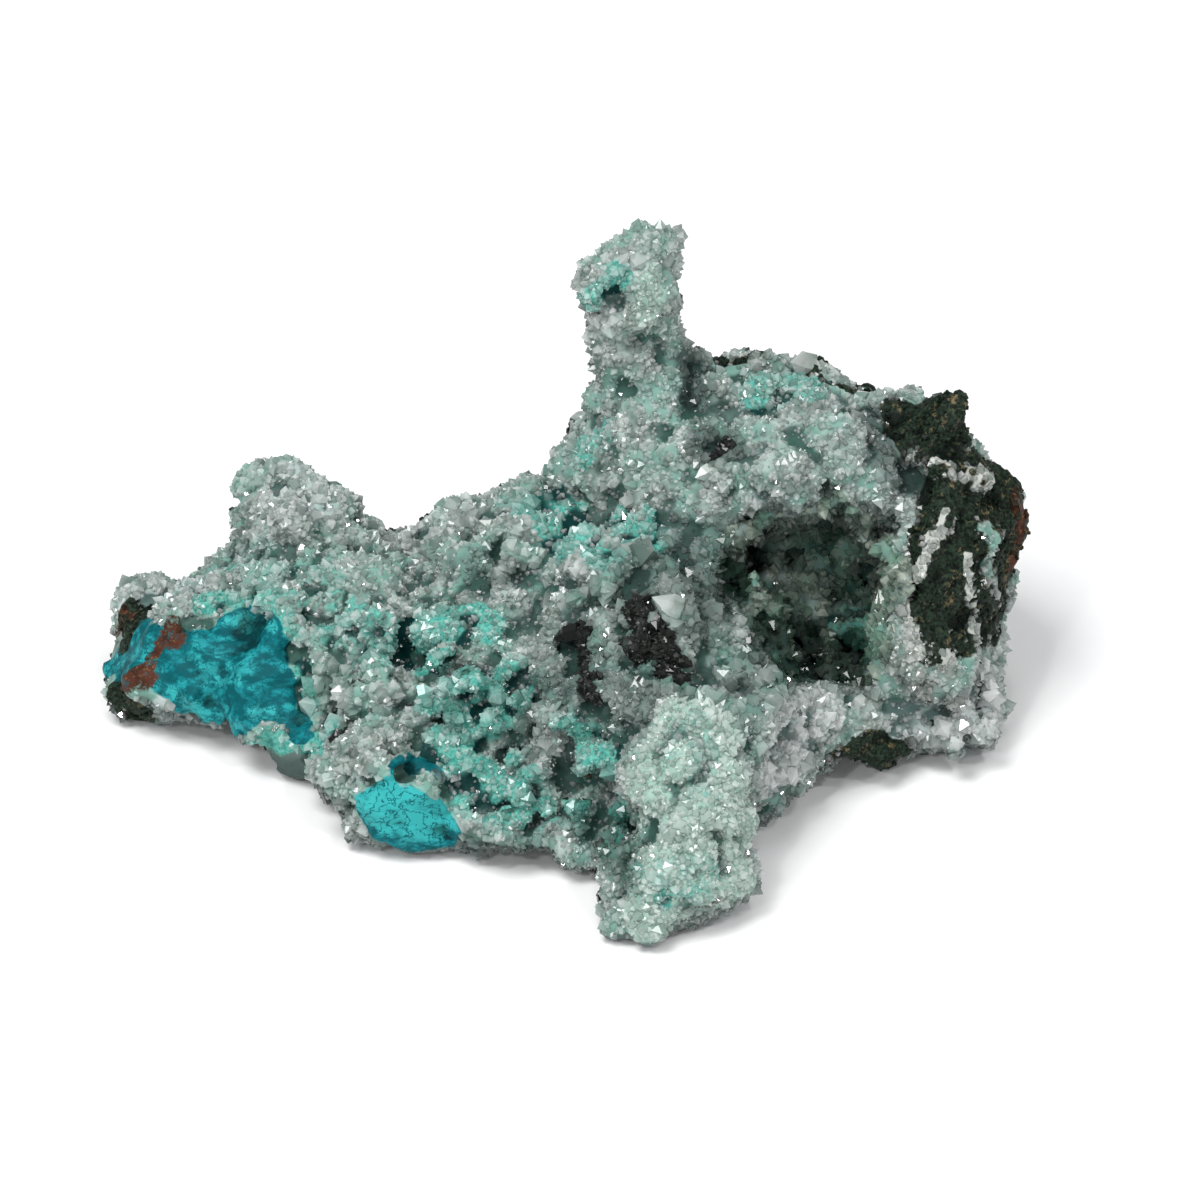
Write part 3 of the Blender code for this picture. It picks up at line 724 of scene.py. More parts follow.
def shape_rock(view, rock):
    """Round domes on the druse, holes in the spongy part, blocks on the host rock."""
    places, _ = surface_of(rock)
    normals = neighbours_mean(rock, corner_normals(rock), 2)
    bent = ragged(places, 3.0 * MM, 0.8 * MM, 5)
    smooth = full_share(view, "smooth", places=bent)
    sponge = full_share(view, "sponge", places=bent)
    dark = full_share(view, "dark", places=bent)
    large, _ = cells(places, 3.0 * MM, 31)
    small, _ = cells(places, 1.5 * MM, 32)
    domes = 0.75 * (0.55 - large ** 2) + 0.42 * (0.5 - small ** 2)
    holes = wave(places, 1.5 * MM, 33) + 0.5 * wave(places, 3.2 * MM, 34)
    thin = full_share(view, "thin", places=places)
    pale = full_share(view, "pale", "solid", places=places)
    holes = ease(0.12, 0.34, holes) * (0.30 + 0.70 * sponge) * (1 - 0.7 * thin) * (1 - 0.95 * pale)
    _, border = cells(places, 2.4 * MM, 35)
    blocks = 0.5 * ease(0.0, 0.25, border) - 0.4
    height = (1 - smooth) * ((1 - dark) * domes - 2.3 * holes * (1 - dark)) + dark * (1 - smooth) * blocks
    push_out(rock, places, normals, height)


def roughen_rock(rock, shares):
    """Moves the corners along their normals: grain, small cells and silky ridges."""
    places, _ = surface_of(rock)
    normals = corner_normals(rock)
    smooth = np.clip(shares["smooth"], 0, 1)
    dark = np.clip(shares["dark"], 0, 1)
    lumpy = wave(places, 1.1 * MM, 1) + 0.6 * wave(places, 0.55 * MM, 2)
    near, _ = cells(places, 0.9 * MM, 3)
    height = (1 - smooth) * (0.10 * lumpy + 0.22 * (0.5 - near ** 2))
    height += dark * 0.22 * lumpy
    silky = wave(places * np.array([0.45, 1.0, 1.3]), 1.6 * MM, 4) + 0.5 * lumpy
    flakes, _ = cells(places * np.array([0.6, 1.0, 1.2]), 1.5 * MM, 7)
    height += smooth * (0.16 * silky + 0.45 * (0.4 - flakes))
    push_out(rock, places, normals, height)


def rock_shares(view, obj):
    """The share of each mineral, and of painted shade, at each corner, stored for the materials."""
    places, _ = surface_of(obj)
    bent = ragged(places, 3.0 * MM, 0.9 * MM, 5)
    bent = ragged(bent, 1.0 * MM, 0.35 * MM, 8)
    shares = {name: zone_share(view, name, bent) for name in ZONES}
    seen = view.spots(bent)
    # Painted shade in the hollow: darker towards the middle of each of these spots on the front view.
    for across, down, radius in HOLLOW_SHADE_SPOTS:
        far = np.linalg.norm(seen - (across, down), axis=1) / radius
        shares["painted_shade"] = np.maximum(shares["painted_shade"], 1.3 * ease(1.15, 0.5, far))
    # How far each corner lies below the corners around it: the pits of the surface, which the materials darken as
    # painted shade.
    wide = neighbours_mean(obj, places, 40)
    normals = corner_normals(obj)
    shares["cavity"] = np.clip(((wide - places) * normals).sum(1) / (0.5 * MM), -1, 1)
    trend = neighbours_mean(obj, normals, 30)
    trend /= np.linalg.norm(trend, axis=1, keepdims=True) + 1e-9
    facing = trend @ np.array(TO_VIEWER)
    behind = ease(0.10, -0.25, facing + 0.25 * wave(places, 9 * MM, 6))
    patch = ease(0.05, 0.30, wave(places, 11 * MM, 7))
    # Painted shade: where the surface faces down, the dark grey quartz share rises, so the undersides are darker.
    under = ease(0.1, -0.5, trend[:, 2])
    shares["dark"] = np.maximum(shares["dark"], behind * (1 - 0.9 * patch))
    shares["smoky"] = np.maximum(shares["smoky"], under)
    shares["haze"] = np.maximum(shares["haze"], behind * patch * 0.8)
    shares["behind"] = behind
    return shares


def length_setting(name, value, text):
    """A length that the user can change."""
    return FloatProperty(name=name, description=text, default=value, min=0.2 * MM, unit="LENGTH", precision=5)


def count_setting(name, value, text):
    """A number of copies that the user can change."""
    return IntProperty(name=name, description=text, default=value, min=1)


def colour_setting(name, value, text):
    """A colour that the user can change."""
    return FloatVectorProperty(name=name, description=text, subtype="COLOR", size=4, min=0, max=1,
                               default=(*value, 1.0))


class RockSizes(bpy.types.PropertyGroup):
    """Sizes of the rock's relief."""
    voxel: length_setting("Finest relief", 0.53 * MM, "Grid that the rock is remeshed on")
    knob_radius: length_setting("Knob radius", 1.4 * MM, "Largest radius of a druse knob")
    knob_count: count_setting("Knobs", 3200, "Druse knobs on the whole rock")
    clump_radius: length_setting("Clump radius", 2.3 * MM, "Middle radius of a druse clump")
    clump_count: count_setting("Clumps", 420, "Larger clumps on the whole rock")
    pit_radius: length_setting("Pit radius", 1.35 * MM, "Middle radius of a pit")
    pit_count: count_setting("Pits", 700, "Pits between the knobs")


class SPECIMEN_OT_rock(bpy.types.Operator):
    """Models the rock with its caverns, knobs, mineral zones and painted shade"""
    bl_idname = "specimen.rock"
    bl_label = "Rock"

    def execute(self, context):
        sizes = context.scene.rock_sizes
        rng = np.random.default_rng(RANDOM_SEEDS["rock"])
        view = FrontView()
        rock = cad_copy("specimen_body", "rock")
        remesh(rock, BARE_GRID)
        shrink_rock(view, rock)
        pits = triangle_object("pits", *cavern_copies(view, rock, sizes, rng))
        remesh(pits, CUT_GRID)
        join(rock, triangle_object("knobs", *knob_copies(view, rock, sizes, rng)))
        remesh(rock, JOINED_GRID)
        cut(rock, pits)
        remesh(rock, JOINED_GRID)
        shape_rock(view, rock)
        remesh(rock, sizes.voxel)
        roughen_rock(rock, rock_shares(view, rock))
        for name, values in rock_shares(view, rock).items():
            paint(rock, name, values)
        bpy.ops.object.shade_smooth()
        rock.data.materials.clear()
        rock.data.materials.append(rock_material())
        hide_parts("specimen_body")
        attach(rock, "root")
        print("rock", len(rock.data.polygons) * 2, "triangles")
        return {"FINISHED"}


class SPECIMEN_OT_hollow_crust(bpy.types.Operator):
    """Models the crystal crust that lines the hollow"""
    bl_idname = "specimen.hollow_crust"
    bl_label = "Crust of the hollow"

    def execute(self, context):
        rng = np.random.default_rng(RANDOM_SEEDS["hollow_crust"])
        view = FrontView()
        crust = cad_copy("hollow_crystal_crust", "hollow_crust")
        places, corners = surface_of(crust)
        spots, normals, _, _ = scatter(places, corners, np.ones(len(corners)), CRUST_KNOBS, rng)
        radius = rng.uniform(0.5, 1.3, len(spots)) * MM
        spots = spots + normals * (radius * rng.uniform(-0.5, 0.1, len(spots)))[:, None]
        knobs = triangle_object("knobs", *copies(
            knob_shape(), spots, turns(rng.normal(size=spots.shape), rng.random(len(spots)) * 6),
            radius[:, None] * rng.uniform(0.8, 1.2, spots.shape)))
        pits = triangle_object("pits", *cavern_copies(view, crust, context.scene.rock_sizes, rng, scattered=False))
        remesh(pits, CUT_GRID)
        join(crust, knobs)
        remesh(crust, CRUST_GRID)
        cut(crust, pits)
        remesh(crust, CRUST_GRID)
        for name, values in rock_shares(view, crust).items():
            paint(crust, name, values * (0 if name in ("dark", "haze") else 1))
        bpy.ops.object.shade_smooth()
        crust.data.materials.clear()
        crust.data.materials.append(rock_material())
        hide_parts("hollow_crystal_crust")
        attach(crust, "root")
        print("crust", len(crust.data.polygons) * 2, "triangles")
        return {"FINISHED"}


# ---------------------------------------------------------------- crystals

class DruseSizes(bpy.types.PropertyGroup):
    """Sizes and numbers of the small quartz points."""
    width: length_setting("Point width", 0.66 * MM, "Middle width of a quartz point")
    count: count_setting("Points", 32000, "Quartz points on the rock")
    hollow_count: count_setting("Points in the hollow", 5200, "Quartz points on the hollow's crust")


def point_mesh(name, shapes, source, chance, count, width, tall, rng, sink=0.3, tilt=0.7):
    """Quartz points of several shapes on a surface, as one object.

    width is one value or one for each triangle, tall is the range of height to
    width, and sink is how far a point's foot is set in, as a share of its width."""
    places, corners = surface_of(source)
    shares = {mineral: painted(source, mineral) for mineral in MINERALS}
    spots, normals, picked, parts = scatter(places, corners, chance, count, rng)
    directions = normals + rng.normal(size=spots.shape) * tilt * 0.5
    matrices = turns(directions, rng.random(count) * 6.28)
    wide = width[picked] if isinstance(width, np.ndarray) else np.full(count, width)
    wide = wide * np.exp(rng.normal(size=count) * 0.36)
    high = wide * rng.uniform(tall[0], tall[1], count)
    spots = spots - matrices[:, :, 2] * (wide * sink)[:, None]
    size = np.stack([wide, wide * rng.uniform(0.75, 1.0, count), high], 1)
    kinds = rng.integers(0, len(shapes), count)
    points, faces, values, start = [], [], {m: [] for m in (*MINERALS, "tip", "shade")}, 0
    for kind, shape in enumerate(shapes):
        mine = kinds == kind
        p, f = copies(shape, spots[mine], matrices[mine], size[mine])
        points.append(p)
        faces.append(f + start)
        start += len(p)
        each = len(shape[0])
        for mineral in MINERALS:
            value = (shares[mineral][corners[picked[mine]]] * parts[mine]).sum(1)
            values[mineral].append(np.repeat(value, each))
        values["tip"].append(np.tile(shape[0][:, 2], mine.sum()))
        values["shade"].append(np.repeat(rng.random(mine.sum()), each))
    obj = triangle_object(name, np.concatenate(points), np.concatenate(faces))
    for mineral, value in values.items():
        paint(obj, mineral, np.concatenate(value))
    return obj


def finish_points(obj, material):
    """Gives the points their material and fixes them to the rock."""
    obj.data.materials.append(material)
    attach(obj, "root")
    print(obj.name, len(obj.data.polygons), "triangles")


def near_table(places, corners):
    """0 for triangles close to the table, and 1 for those with room below them."""
    return ease(*POINTS_FROM_TABLE, places[corners][:, :, 2].min(1))


class SPECIMEN_OT_druse(bpy.types.Operator):
    """Grows the druse: tens of thousands of small quartz points on the rock"""
    bl_idname = "specimen.druse"
    bl_label = "Druse"

    def execute(self, context):
        sizes = context.scene.druse_sizes
        rng = np.random.default_rng(RANDOM_SEEDS["druse"])
        rock = bpy.data.objects["rock"]
        places, corners = surface_of(rock)
        at = face_shares(rock, corners, (*MINERALS, "behind", "smooth", "large"))
        vein, cavity, pale, haze, large = (np.clip(at[name], 0, 1)
                                           for name in ("vein", "cavity", "pale", "haze", "large"))
        blocked = np.clip(at["blue"] * 1.3 + at["dark"] * 0.9 * (1 - vein) + at["rust"]
                          + at["black"] * 0.75 + at["smooth"] * 1.2, 0, 1)
        chance = (1.0 - blocked) * (1.0 - 0.6 * at["behind"]) * (1 - 0.8 * cavity)
        chance = np.clip(chance, 0, 1) * near_table(places, corners) * (1 + 0.8 * pale)
        chance *= 1.0 - 0.5 * large
        middle = places[corners].mean(1)
        width = sizes.width * (1.0 + 0.35 * wave(middle, 5 * MM, 12)) * (1 + 0.3 * haze)
        width *= 1.0 + 0.7 * large
        width *= 1.0 - 0.4 * cavity - 0.2 * pale
        shapes = [crystal_shape(*form) for form in POINT_FORMS]
        material = druse_material()
        area = np.linalg.norm(face_crosses(places, corners), axis=1)
        total = (area * chance).sum()
        for number, (low, high) in enumerate(zip(DRUSE_BORDERS, DRUSE_BORDERS[1:]), 1):
            mask = (middle[:, 0] > low) & (middle[:, 0] <= high)
            count = int(sizes.count * (area * chance * mask).sum() / total)
            obj = point_mesh("druse_%d" % number, shapes, rock, chance * mask, count,
                             width, (0.65, 1.0), rng, sink=0.38, tilt=0.6)
            finish_points(obj, material)
        return {"FINISHED"}


class SPECIMEN_OT_hollow_points(bpy.types.Operator):
    """Grows the larger, darker quartz points in the hollow, dark partly in colour and partly by painted shade"""
    bl_idname = "specimen.hollow_points"
    bl_label = "Points in the hollow"

    def execute(self, context):
        sizes = context.scene.druse_sizes
        rng = np.random.default_rng(RANDOM_SEEDS["hollow_points"])
        crust = bpy.data.objects["hollow_crust"]
        _, corners = surface_of(crust)
        shapes = [crystal_shape(*form) for form in POINT_FORMS[:3]]
        obj = point_mesh("hollow_points", shapes, crust, np.ones(len(corners)), sizes.hollow_count,
                         sizes.width * 1.15, (0.7, 1.2), rng, sink=0.35, tilt=0.55)
        finish_points(obj, hollow_point_material())
        return {"FINISHED"}


class SPECIMEN_OT_host_grains(bpy.types.Operator):
    """Scatters coarse grains over the dark host rock and the black spots"""
    bl_idname = "specimen.host_grains"
    bl_label = "Host rock grains"

    def execute(self, context):
        rng = np.random.default_rng(RANDOM_SEEDS["host_grains"])
        rock = bpy.data.objects["rock"]
        places, corners = surface_of(rock)
        at = face_shares(rock, corners, MINERALS)
        chance = np.clip(at["dark"] + at["rust"] * 0.4 - at["vein"], 0, 1) * near_table(places, corners)
        obj = point_mesh("host_grains", [grain_shape()], rock, chance, HOST_GRAINS, HOST_GRAIN_WIDTH,
                         (0.7, 1.2), rng, sink=0.1)
        finish_points(obj, host_grain_material())
        patchy = wave(places[corners].mean(1), 0.9 * MM, 14)
        black = np.clip(at["black"] * 2 - 0.9 + patchy, 0, 1) * (at["black"] > 0.1) + 1e-9
        shapes = [crystal_shape(*form) for form in BLACK_FORMS]
        obj = point_mesh("black_points", shapes, rock, black, BLACK_POINTS, BLACK_POINT_WIDTH,
                         (0.7, 1.5), rng, tilt=0.9)
        finish_points(obj, black_point_material())
        return {"FINISHED"}


# ---------------------------------------------------------------- materials

def node(tree, kind, settings=None, inputs=None):
    """Adds a shader node; an input is a value or another node's output."""
    made = tree.nodes.new(kind)
    for name, value in (settings or {}).items():
        setattr(made, name, value)
    for name, value in (inputs or {}).items():
        if isinstance(value, bpy.types.NodeSocket):
            tree.links.new(value, made.inputs[name])
        else:
            made.inputs[name].default_value = value
    return made


def stored(tree, name):
    """The value that paint stored under this name."""
    return node(tree, "ShaderNodeAttribute", {"attribute_name": name}).outputs["Fac"]


def blend(tree, share, low, high, kind="MIX"):
    """Mixes two colours, or with kind MULTIPLY tints the first by the second."""
    made = node(tree, "ShaderNodeMix", {"data_type": "RGBA", "blend_type": kind}, {0: share, 6: low, 7: high})
    return made.outputs[2]


def tint(tree, colour, by):
    """Multiplies one colour by another."""
    return blend(tree, 1.0, colour, by, "MULTIPLY")


def maths(tree, operation, *values):
    """One calculation on values."""
    return node(tree, "ShaderNodeMath", {"operation": operation}, dict(enumerate(values))).outputs[0]


def scaled(tree, value, factor, more=0.0):
    """The value times the factor, plus more."""
    return maths(tree, "MULTIPLY_ADD", value, factor, more)


def rise(tree, value, low, high):
    """A smooth rise from 0 at low to 1 at high."""
    made = node(tree, "ShaderNodeMapRange", {"interpolation_type": "SMOOTHSTEP"},
                {"Value": value, "From Min": low, "From Max": high})
    return made.outputs[0]


def speckle(tree, place, size, detail=3.0, rough=0.55):
    """Noise with bumps of that size."""
    made = node(tree, "ShaderNodeTexNoise", None,
                {"Vector": place, "Scale": 1.0 / size, "Detail": detail, "Roughness": rough})
    return made.outputs["Fac"]


def layer(tree, under, over, share, noise, weight, low, high):
    """Lays one colour over another, where the share plus weighted noise rises from low to high."""
    return blend(tree, rise(tree, scaled(tree, noise, weight, share), low, high), under, over)


def mineral_group(colours):
    """Node group: the colour of the mixed minerals with painted shade, and their roughness and relief."""
    if "minerals_and_painted_shade" in bpy.data.node_groups:
        return bpy.data.node_groups["minerals_and_painted_shade"]
    group = bpy.data.node_groups.new("minerals_and_painted_shade", "ShaderNodeTree")
    for name in MINERALS:
        group.interface.new_socket(name.title(), in_out="INPUT", socket_type="NodeSocketFloat")
    for name, kind in (("Color", "NodeSocketColor"), ("Roughness", "NodeSocketFloat"), ("Height", "NodeSocketFloat")):
        group.interface.new_socket(name, in_out="OUTPUT", socket_type=kind)
    given = group.nodes.new("NodeGroupInput").outputs
    place = group.nodes.new("ShaderNodeTexCoord").outputs["Object"]
    fine = speckle(group, place, 0.35 * MM)
    middle = speckle(group, place, 1.2 * MM)
    clump = speckle(group, place, 3.0 * MM, 2.0)
    wide = speckle(group, place, 4.5 * MM, 2.0)
    streaks = node(group, "ShaderNodeMapping", None, {"Vector": place, "Scale": (0.55, 1.0, 1.2)})
    silky = speckle(group, streaks.outputs[0], 1.1 * MM, 6.0, 0.65)
    hollow = rise(group, given["Cavity"], 0.0, 0.55)

    # The druse, from dark to light grey, with its green, mint, white and dark grey
    # parts; the dark grey parts are partly grey quartz and partly painted shade.
    tone = scaled(group, middle, 0.55, scaled(group, clump, 0.9))
    colour = blend(group, rise(group, tone, 0.52, 0.92), colours.druse_low, colours.druse_high)
    colour = blend(group, rise(group, wide, 0.42, 0.62), colour, colours.druse_green)
    colour = layer(group, colour, colours.mint, given["Pale"], middle, 0.5, 0.45, 0.95)
    colour = layer(group, colour, colours.haze, given["Haze"], middle, 0.5, 0.5, 1.1)
    colour = layer(group, colour, colours.smoke_and_shade, given["Smoky"], middle, 0.4, 0.45, 1.1)

    # Turquoise flecks; in the pits of the surface they turn deep teal, partly the
    # mineral's colour and partly painted shade.
    turquoise = blend(group, rise(group, fine, 0.3, 0.7), colours.teal, colours.turquoise)
    turquoise = blend(group, hollow, turquoise, colours.teal_in_pit_shade)
    flecks = scaled(group, middle, 0.9, given["Teal"])
    colour = layer(group, colour, turquoise, flecks, fine, 0.5, 0.95, 1.35)

    # The blue face, with lighter rims and dark cracks.
    rim = blend(group, rise(group, silky, 0.42, 0.62), colours.blue_deep, colours.blue)
    rim = layer(group, rim, colours.blue_light, scaled(group, silky, 0.6), wide, 0.7, 0.66, 0.85)
    rim = layer(group, rim, colours.blue_pale, scaled(group, given["Bright"], 0.5), silky, 1.0, 0.70, 1.05)
    crack = rise(group, maths(group, "ABSOLUTE", scaled(group, middle, 1.0, -0.5)), 0.0, 0.035)
    rim = blend(group, crack, colours.blue_deep, rim)
    colour = layer(group, colour, rim, given["Blue"], middle, 0.35, 0.5, 0.8)

    # The host rock, its rust and its black and pale parts.
    matrix = blend(group, rise(group, fine, 0.4, 0.6), colours.host_black, colours.host_green)
    matrix = layer(group, matrix, colours.host_brown, scaled(group, fine, 0.5), middle, 0.8, 0.72, 0.86)
    colour = layer(group, colour, matrix, given["Dark"], middle, 0.4, 0.55, 0.85)
    ochre = blend(group, rise(group, fine, 0.56, 0.80), colours.rust, colours.ochre)
    blotch = scaled(group, fine, 0.6, middle)
    colour = layer(group, colour, ochre, blotch, given["Rust"], 0.8, 1.25, 1.6)
    colour = layer(group, colour, colours.black, given["Black"], middle, 1.2, 1.0, 1.3)
    colour = layer(group, colour, colours.vein, given["Vein"], middle, 0.5, 0.6, 0.95)

    # Painted shade: darker, with a teal tint where the chrysocolla shows, in the pits
    # of the surface; and darker still, down to a near-black green, where the painted
    # shade share is high.
    colour = tint(group, colour, blend(group, scaled(group, hollow, 0.85), WHITE, colours.stain))
    painted_shade = blend(group, scaled(group, given["Painted_Shade"], 0.85), WHITE, colours.painted_shade)
    painted_shade = blend(group, rise(group, given["Painted_Shade"], 0.8, 1.25), painted_shade, (0.14, 0.17, 0.155, 1))
    out = group.nodes.new("NodeGroupOutput").inputs
    group.links.new(tint(group, colour, painted_shade), out["Color"])
    group.links.new(scaled(group, fine, 0.35, 0.40), out["Roughness"])
    group.links.new(scaled(group, fine, 0.6, scaled(group, silky, 0.4)), out["Height"])
    return group


def mineral_node(tree):
    """Places the mineral mix in a material and feeds it the stored shares."""
    colours = bpy.context.scene.mineral_colours
    made = node(tree, "ShaderNodeGroup", {"node_tree": mineral_group(colours)})
    for name in MINERALS:
        tree.links.new(stored(tree, name), made.inputs[name.title()])
    return made


def new_material(name, **settings):
    """A new material with its node tree and its Principled shader; a setting's
    name is the shader input's, with its spaces as underscores."""
    material = bpy.data.materials.new(name)
    material.use_nodes = True
    shader = material.node_tree.nodes["Principled BSDF"]
    for key, value in settings.items():
        shader.inputs[key.replace("_", " ")].default_value = value
    return material, material.node_tree, shader


def rock_material():
    """Rock surface: the mineral mix with fine relief, darkened where the druse grows as painted shade between the
    quartz points.
    """
    if "rock_surface" in bpy.data.materials:
        return bpy.data.materials["rock_surface"]
    material, tree, shader = new_material(
        "rock_surface", Specular_IOR_Level=0.1, Subsurface_Weight=0.3,
        Subsurface_Radius=(0.8, 1.0, 0.9), Subsurface_Scale=0.7 * MM)
    mix = mineral_node(tree)
    # Painted shade: the rock is darkened where the druse grows, but not on the blue face or the host rock.
    bare = maths(tree, "ADD", stored(tree, "blue"), stored(tree, "dark"))
    under = blend(tree, rise(tree, bare, 0.2, 0.7), (0.50, 0.56, 0.55, 1), WHITE)
    tree.links.new(tint(tree, mix.outputs["Color"], under), shader.inputs["Base Color"])
    tree.links.new(mix.outputs["Roughness"], shader.inputs["Roughness"])
    bump = node(tree, "ShaderNodeBump", None,
                {"Height": mix.outputs["Height"], "Strength": 0.6, "Distance": 0.15 * MM})
    tree.links.new(bump.outputs[0], shader.inputs["Normal"])
    return material


def point_material(name, lift, low, high, over=WHITE, **settings):
    """The mineral mix, turned towards the lift colour near each point's tip, and different from point to point. Where
    the lift is lighter than the mix, as on the druse, the lighter tips are painted light.
    """
    material, tree, shader = new_material(name, **settings)
    shade = stored(tree, "shade")
    # Painted shade: the tips turn less where the dark grey quartz and painted shade shares are high.
    clear = rise(tree, scaled(tree, stored(tree, "smoky"), 0.7, stored(tree, "painted_shade")), 1.3, 0.0)
    share = maths(tree, "MULTIPLY", rise(tree, stored(tree, "tip"), low, high), scaled(tree, shade, 0.5, 0.25))
    share = maths(tree, "MULTIPLY", share, clear)
    colour = blend(tree, share, mineral_node(tree).outputs["Color"], lift)
    colour = tint(tree, colour, blend(tree, shade, (0.55, 0.60, 0.58, 1), (1.08, 1.08, 1.08, 1)))
    tree.links.new(tint(tree, colour, over), shader.inputs["Base Color"])
    return material


def druse_material():
    """Milky clear quartz over the minerals, with near-white tips of painted light."""
    return point_material("druse_quartz", (0.92, 0.95, 0.935, 1), -0.1, 1.2, Roughness=0.05,
                          IOR=QUARTZ_IOR, Specular_IOR_Level=0.5, Transmission_Weight=0.5)


def hollow_point_material():
    """Glassy grey-green quartz of the hollow; its tips lighten only to a dark grey, partly the quartz's colour and
    partly painted shade.
    """
    return point_material("hollow_quartz", (0.35, 0.40, 0.37, 1), 0.3, 1.2, over=(0.90, 0.90, 0.82, 1),
                          Roughness=0.1, IOR=QUARTZ_IOR, Specular_IOR_Level=0.35, Transmission_Weight=0.4)


def host_grain_material():
    """Dark green and brown grains of the host rock."""
    return point_material("host_grains", (0.03, 0.045, 0.03, 1), 0.0, 1.5, Roughness=0.35,
                          Specular_IOR_Level=0.06)


def black_point_material():
    """Small black crystals."""
    material, tree, shader = new_material("black_quartz", Roughness=0.06, Specular_IOR_Level=0.4)
    black = bpy.context.scene.mineral_colours.black
    tree.links.new(blend(tree, stored(tree, "shade"), black, (0.02, 0.022, 0.02, 1)), shader.inputs["Base Color"])
    return material


class MineralColours(bpy.types.PropertyGroup):
    """Colours of the minerals, and of the painted shade."""
    druse_low: colour_setting("Druse, dark", (0.215, 0.29, 0.255), "Darker grey of the druse")
    druse_high: colour_setting("Druse, light", (0.70, 0.765, 0.73), "Lighter grey of the druse")
    druse_green: colour_setting("Druse, green", (0.33, 0.55, 0.475), "Green tinge of the druse")
    mint: colour_setting("Mint quartz", (0.62, 0.80, 0.71), "Pale mint lump and foot")
    haze: colour_setting("White quartz", (0.78, 0.81, 0.80), "White-grey quartz")
    # The colour of dark grey quartz, which the dark grey share also lays on as painted shade.
    smoke_and_shade: colour_setting("Smoky quartz", (0.19, 0.24, 0.225), "Smoky grey quartz")
    teal: colour_setting("Teal", (0.06, 0.46, 0.40), "Turquoise flecks, deeper")
    turquoise: colour_setting("Turquoise", (0.30, 0.76, 0.64), "Turquoise flecks, lighter")
    # Teal of the pits of the surface: the mineral's teal, darkened as painted shade.
    teal_in_pit_shade: colour_setting("Deep teal", (0.015, 0.17, 0.17), "Teal in the caverns")
    blue_pale: colour_setting("Pale blue", (0.035, 0.37, 0.375), "Palest rims and lobe of the blue")
    blue: colour_setting("Blue", (0.004, 0.185, 0.21), "Silky blue face")
    blue_deep: colour_setting("Deep blue", (0.0, 0.08, 0.095), "Darker parts of the blue face")
    blue_light: colour_setting("Light blue", (0.02, 0.30, 0.32), "Lighter rims of the blue face")
    host_black: colour_setting("Host rock, black", (0.005, 0.007, 0.005), "Black part of the host rock")
    host_green: colour_setting("Host rock, green", (0.018, 0.034, 0.021), "Green part of the host rock")
    host_brown: colour_setting("Host rock, brown", (0.15, 0.115, 0.06), "Brown specks of the host rock")
    rust: colour_setting("Rust", (0.07, 0.022, 0.012), "Red-brown stain")
    ochre: colour_setting("Ochre", (0.24, 0.16, 0.075), "Orange-brown stain")
    black: colour_setting("Black", (0.006, 0.007, 0.006), "Black mineral")
    vein: colour_setting("Vein", (0.46, 0.48, 0.445), "Pale quartz veins")
    # The stain colour is painted shade in the pits of the surface, tinted teal where the chrysocolla shows.
    stain: colour_setting("Stain", (0.09, 0.19, 0.175), "Darkening in the pits")
    # Painted shade of the recessed parts.
    painted_shade: colour_setting("Painted_Shade", (0.36, 0.43, 0.41), "Darkening of the recessed parts")


# ---------------------------------------------------------------- stage

class SPECIMEN_OT_stage(bpy.types.Operator):
    """Sets up the plain floor, the soft light and the camera"""
    bl_idname = "specimen.stage"
    bl_label = "Stage"

    def execute(self, context):
        start_fresh()
        bpy.ops.mesh.primitive_grid_add(x_subdivisions=4, y_subdivisions=4, size=FLOOR_SIZE, location=(0, 0, 0))
        floor = bpy.context.object
        floor.name = "floor"
        material, tree, shader = new_material("pale_floor", Roughness=0.9)
        place = tree.nodes.new("ShaderNodeTexCoord").outputs["Object"]
        grain = speckle(tree, place, 2 * MM)
        tree.links.new(blend(tree, grain, (0.90, 0.90, 0.90, 1), (0.92, 0.92, 0.92, 1)), shader.inputs["Base Color"])
        floor.data.materials.append(material)
        target = FrontView().on_plane(*VIEW_MIDDLE)
        for name, direction, distance, size, power in LIGHTS:
            soft_light(name, target, direction, distance, size, power)
        world = bpy.data.worlds.new("soft_room")
        world.use_nodes = True
        background = world.node_tree.nodes["Background"].inputs
        background["Color"].default_value = ROOM_COLOUR
        background["Strength"].default_value = ROOM_LIGHT
        context.scene.world = world
        context.scene.view_settings.view_transform = "Standard"
        data = bpy.data.cameras.new("camera")
        camera = bpy.data.objects.new("camera", data)
        context.collection.objects.link(camera)
        data.sensor_width = SENSOR_WIDTH
        data.lens = SENSOR_WIDTH * CAMERA_DISTANCE / VIEW_WIDTH
        data.clip_end = 20
        camera.location = target + TO_VIEWER * CAMERA_DISTANCE
        camera.rotation_euler = TO_VIEWER.to_track_quat("Z", "Y").to_euler()
        context.scene.camera = camera
        return {"FINISHED"}


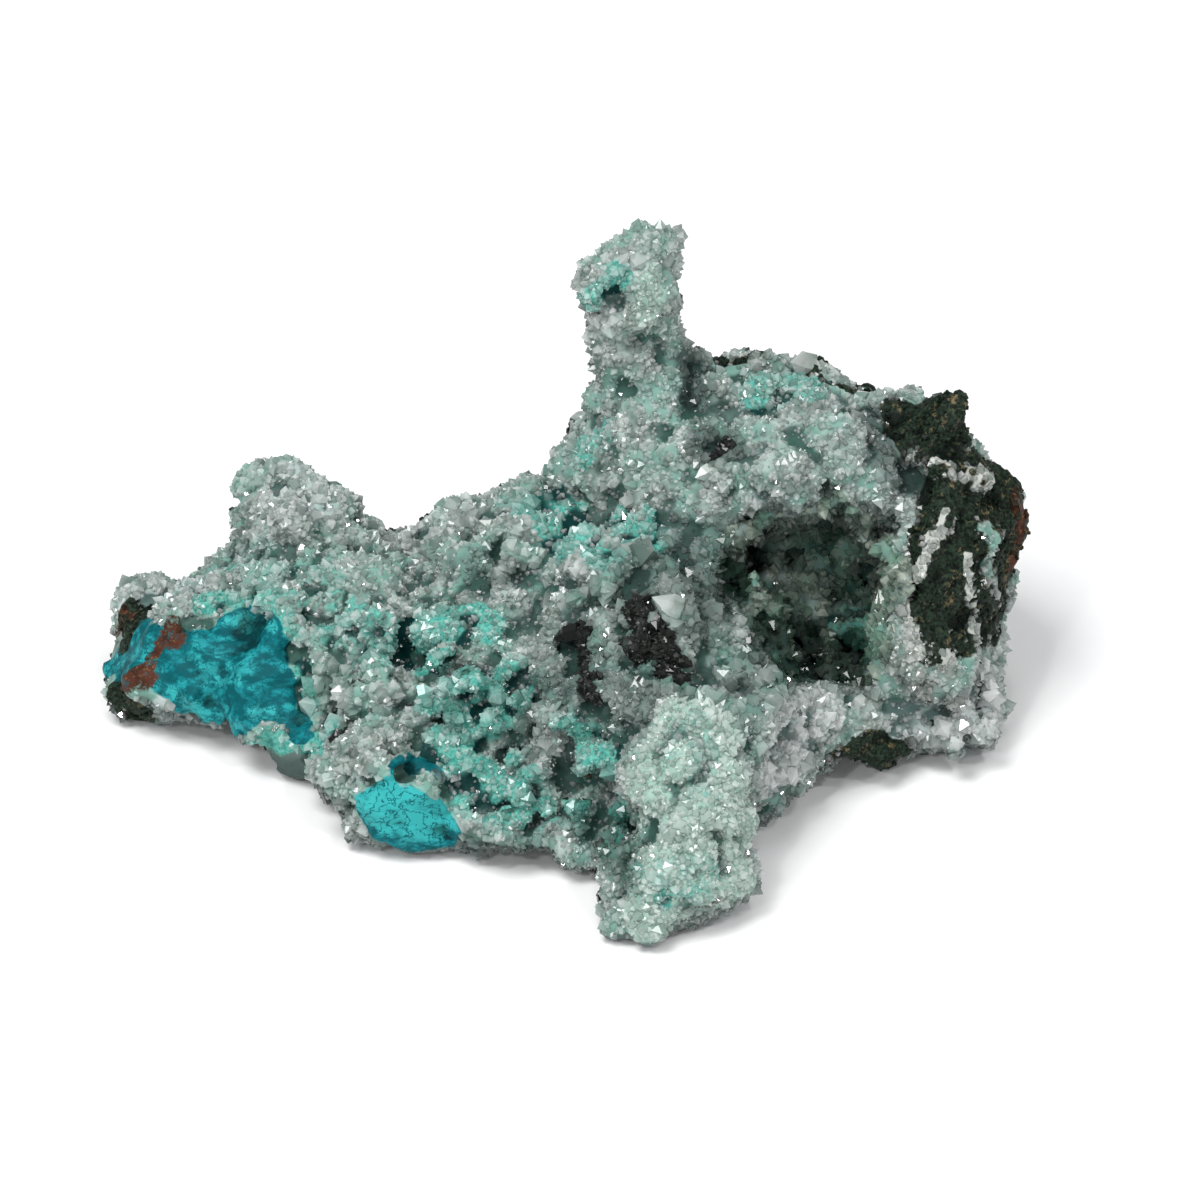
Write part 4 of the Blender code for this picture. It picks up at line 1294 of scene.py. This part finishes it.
def soft_light(name, target, side, far, size, power):
    """A square light that faces the specimen."""
    data = bpy.data.lights.new(name, "AREA")
    data.shape = "SQUARE"
    data.size = size
    data.energy = power
    light = bpy.data.objects.new(name, data)
    bpy.context.collection.objects.link(light)
    towards = Vector(side).normalized()
    light.location = target + towards * far
    light.rotation_euler = towards.to_track_quat("Z", "Y").to_euler()


# ---------------------------------------------------------------- panel and start

class SPECIMEN_PT_panel(bpy.types.Panel):
    """Lists the pieces of the specimen"""
    bl_idname = "SPECIMEN_PT_panel"
    bl_label = "Chrysocolla specimen"
    bl_space_type = "VIEW_3D"
    bl_region_type = "UI"
    bl_category = "Specimen"

    def draw(self, context):
        column = self.layout.column(align=True)
        for operator in OPERATORS:
            column.operator(operator.bl_idname)
        for group in (context.scene.rock_sizes, context.scene.druse_sizes, context.scene.mineral_colours):
            box = self.layout.box()
            for name in type(group).__annotations__:
                box.prop(group, name)


OPERATORS = (
    SPECIMEN_OT_rock,
    SPECIMEN_OT_hollow_crust,
    SPECIMEN_OT_druse,
    SPECIMEN_OT_hollow_points,
    SPECIMEN_OT_host_grains,
    SPECIMEN_OT_stage,
)
GROUPS = {"rock_sizes": RockSizes, "druse_sizes": DruseSizes, "mineral_colours": MineralColours}


def register():
    """Registers the add-on's classes and settings."""
    for name, group in GROUPS.items():
        bpy.utils.register_class(group)
        setattr(bpy.types.Scene, name, PointerProperty(type=group))
    for operator in OPERATORS:
        bpy.utils.register_class(operator)
    bpy.utils.register_class(SPECIMEN_PT_panel)


def unregister():
    """Removes the add-on's classes and settings."""
    bpy.utils.unregister_class(SPECIMEN_PT_panel)
    for operator in reversed(OPERATORS):
        bpy.utils.unregister_class(operator)
    for name, group in reversed(GROUPS.items()):
        delattr(bpy.types.Scene, name)
        bpy.utils.unregister_class(group)


def main():
    """Makes every piece."""
    register()
    bpy.ops.specimen.rock()
    bpy.ops.specimen.hollow_crust()
    bpy.ops.specimen.druse()
    bpy.ops.specimen.hollow_points()
    bpy.ops.specimen.host_grains()
    bpy.ops.specimen.stage()


if __name__ == "__main__":
    main()
